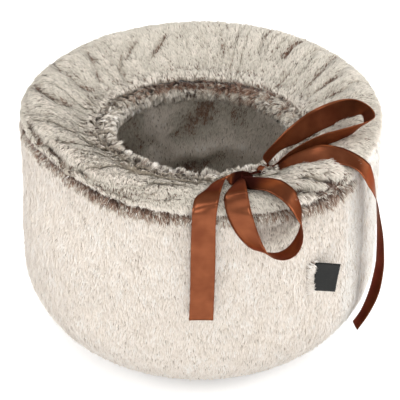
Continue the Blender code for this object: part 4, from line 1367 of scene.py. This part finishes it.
# The photograph's camera: its height angle, its distance and its focal length in pixels of a square
# picture, whose middle line lies a little low
view = {"elevation": radians(33.0), "distance": 1.6, "focal": 1389.0, "picture": 400.0, "shift": 30.5}
view.update(film=36.0, target=(0.0, 0.0, 0.1))


def areaLamp(name, spot, target, size, power):
    data = bpy.data.lights.new(name, "AREA")
    data.energy = power
    data.size = size
    lamp = bpy.data.objects.new(name, data)
    bpy.context.scene.collection.objects.link(lamp)
    lamp.location = spot
    lamp.rotation_euler = (Vector(target) - Vector(spot)).to_track_quat("-Z", "Y").to_euler()


def setScene():
    shape = bmesh.new()
    bmesh.ops.create_grid(shape, x_segments=1, y_segments=1, size=6.0)
    mesh = bpy.data.meshes.new("floor")
    shape.to_mesh(mesh)
    shape.free()
    floor = bpy.data.objects.new("floor", mesh)
    floor.location.z = -0.0005
    bpy.context.scene.collection.objects.link(floor)
    made, tree, shader = newMaterial("pale floor")
    paths = addNode(tree, "ShaderNodeLightPath")
    seen = paths.outputs["Is Camera Ray"]
    for other in ("Is Glossy Ray", "Is Transmission Ray"):
        seen = addNode(
            tree, "ShaderNodeMath", {"operation": "MAXIMUM"}, {0: seen, 1: paths.outputs[other]}
        ).outputs[0]
    strength = addNode(tree, "ShaderNodeMath", {"operation": "MULTIPLY"}, {0: seen, 1: 0.35}).outputs[0]
    plug(
        tree,
        shader,
        {
            "Base Color": "#f4f4f4",
            "Roughness": 0.9,
            "Emission Color": "#ffffff",
            "Emission Strength": strength,
        },
    )
    mesh.materials.append(made)
    world = bpy.data.worlds.new("studio")
    bpy.context.scene.world = world
    world.use_nodes = True
    background = world.node_tree.nodes["Background"]
    background.inputs["Color"].default_value = (1, 1, 1, 1)
    paths = addNode(world.node_tree, "ShaderNodeLightPath")
    amount = addNode(
        world.node_tree,
        "ShaderNodeMath",
        {"operation": "MULTIPLY_ADD"},
        {0: paths.outputs["Is Camera Ray"], 1: 0.22, 2: 0.78},
    )
    # what shines sees a darker room than what is lit by it, as between two soft boxes
    dimmed = addNode(
        world.node_tree,
        "ShaderNodeMath",
        {"operation": "MULTIPLY_ADD"},
        {0: paths.outputs["Is Glossy Ray"], 1: -0.38, 2: amount.outputs[0]},
    )
    plug(world.node_tree, background, {"Strength": dimmed.outputs[0]})
    for name, (spot, size, power) in lamps.items():
        areaLamp(name, spot, (0.0, 0.0, 0.15), size, power)
    data = bpy.data.cameras.new("camera")
    data.sensor_width = view["film"]
    data.lens = view["film"] * view["focal"] / view["picture"]
    data.shift_y = view["shift"] / view["picture"]
    camera = bpy.data.objects.new("camera", data)
    bpy.context.scene.collection.objects.link(camera)
    back = Vector((0.0, -cos(view["elevation"]), sin(view["elevation"])))
    camera.location = Vector(view["target"]) + back * view["distance"]
    camera.rotation_euler = (-back).to_track_quat("-Z", "Y").to_euler()
    bpy.context.scene.camera = camera
    bpy.context.scene.view_settings.view_transform = "Standard"


setScene()
print("scene set")
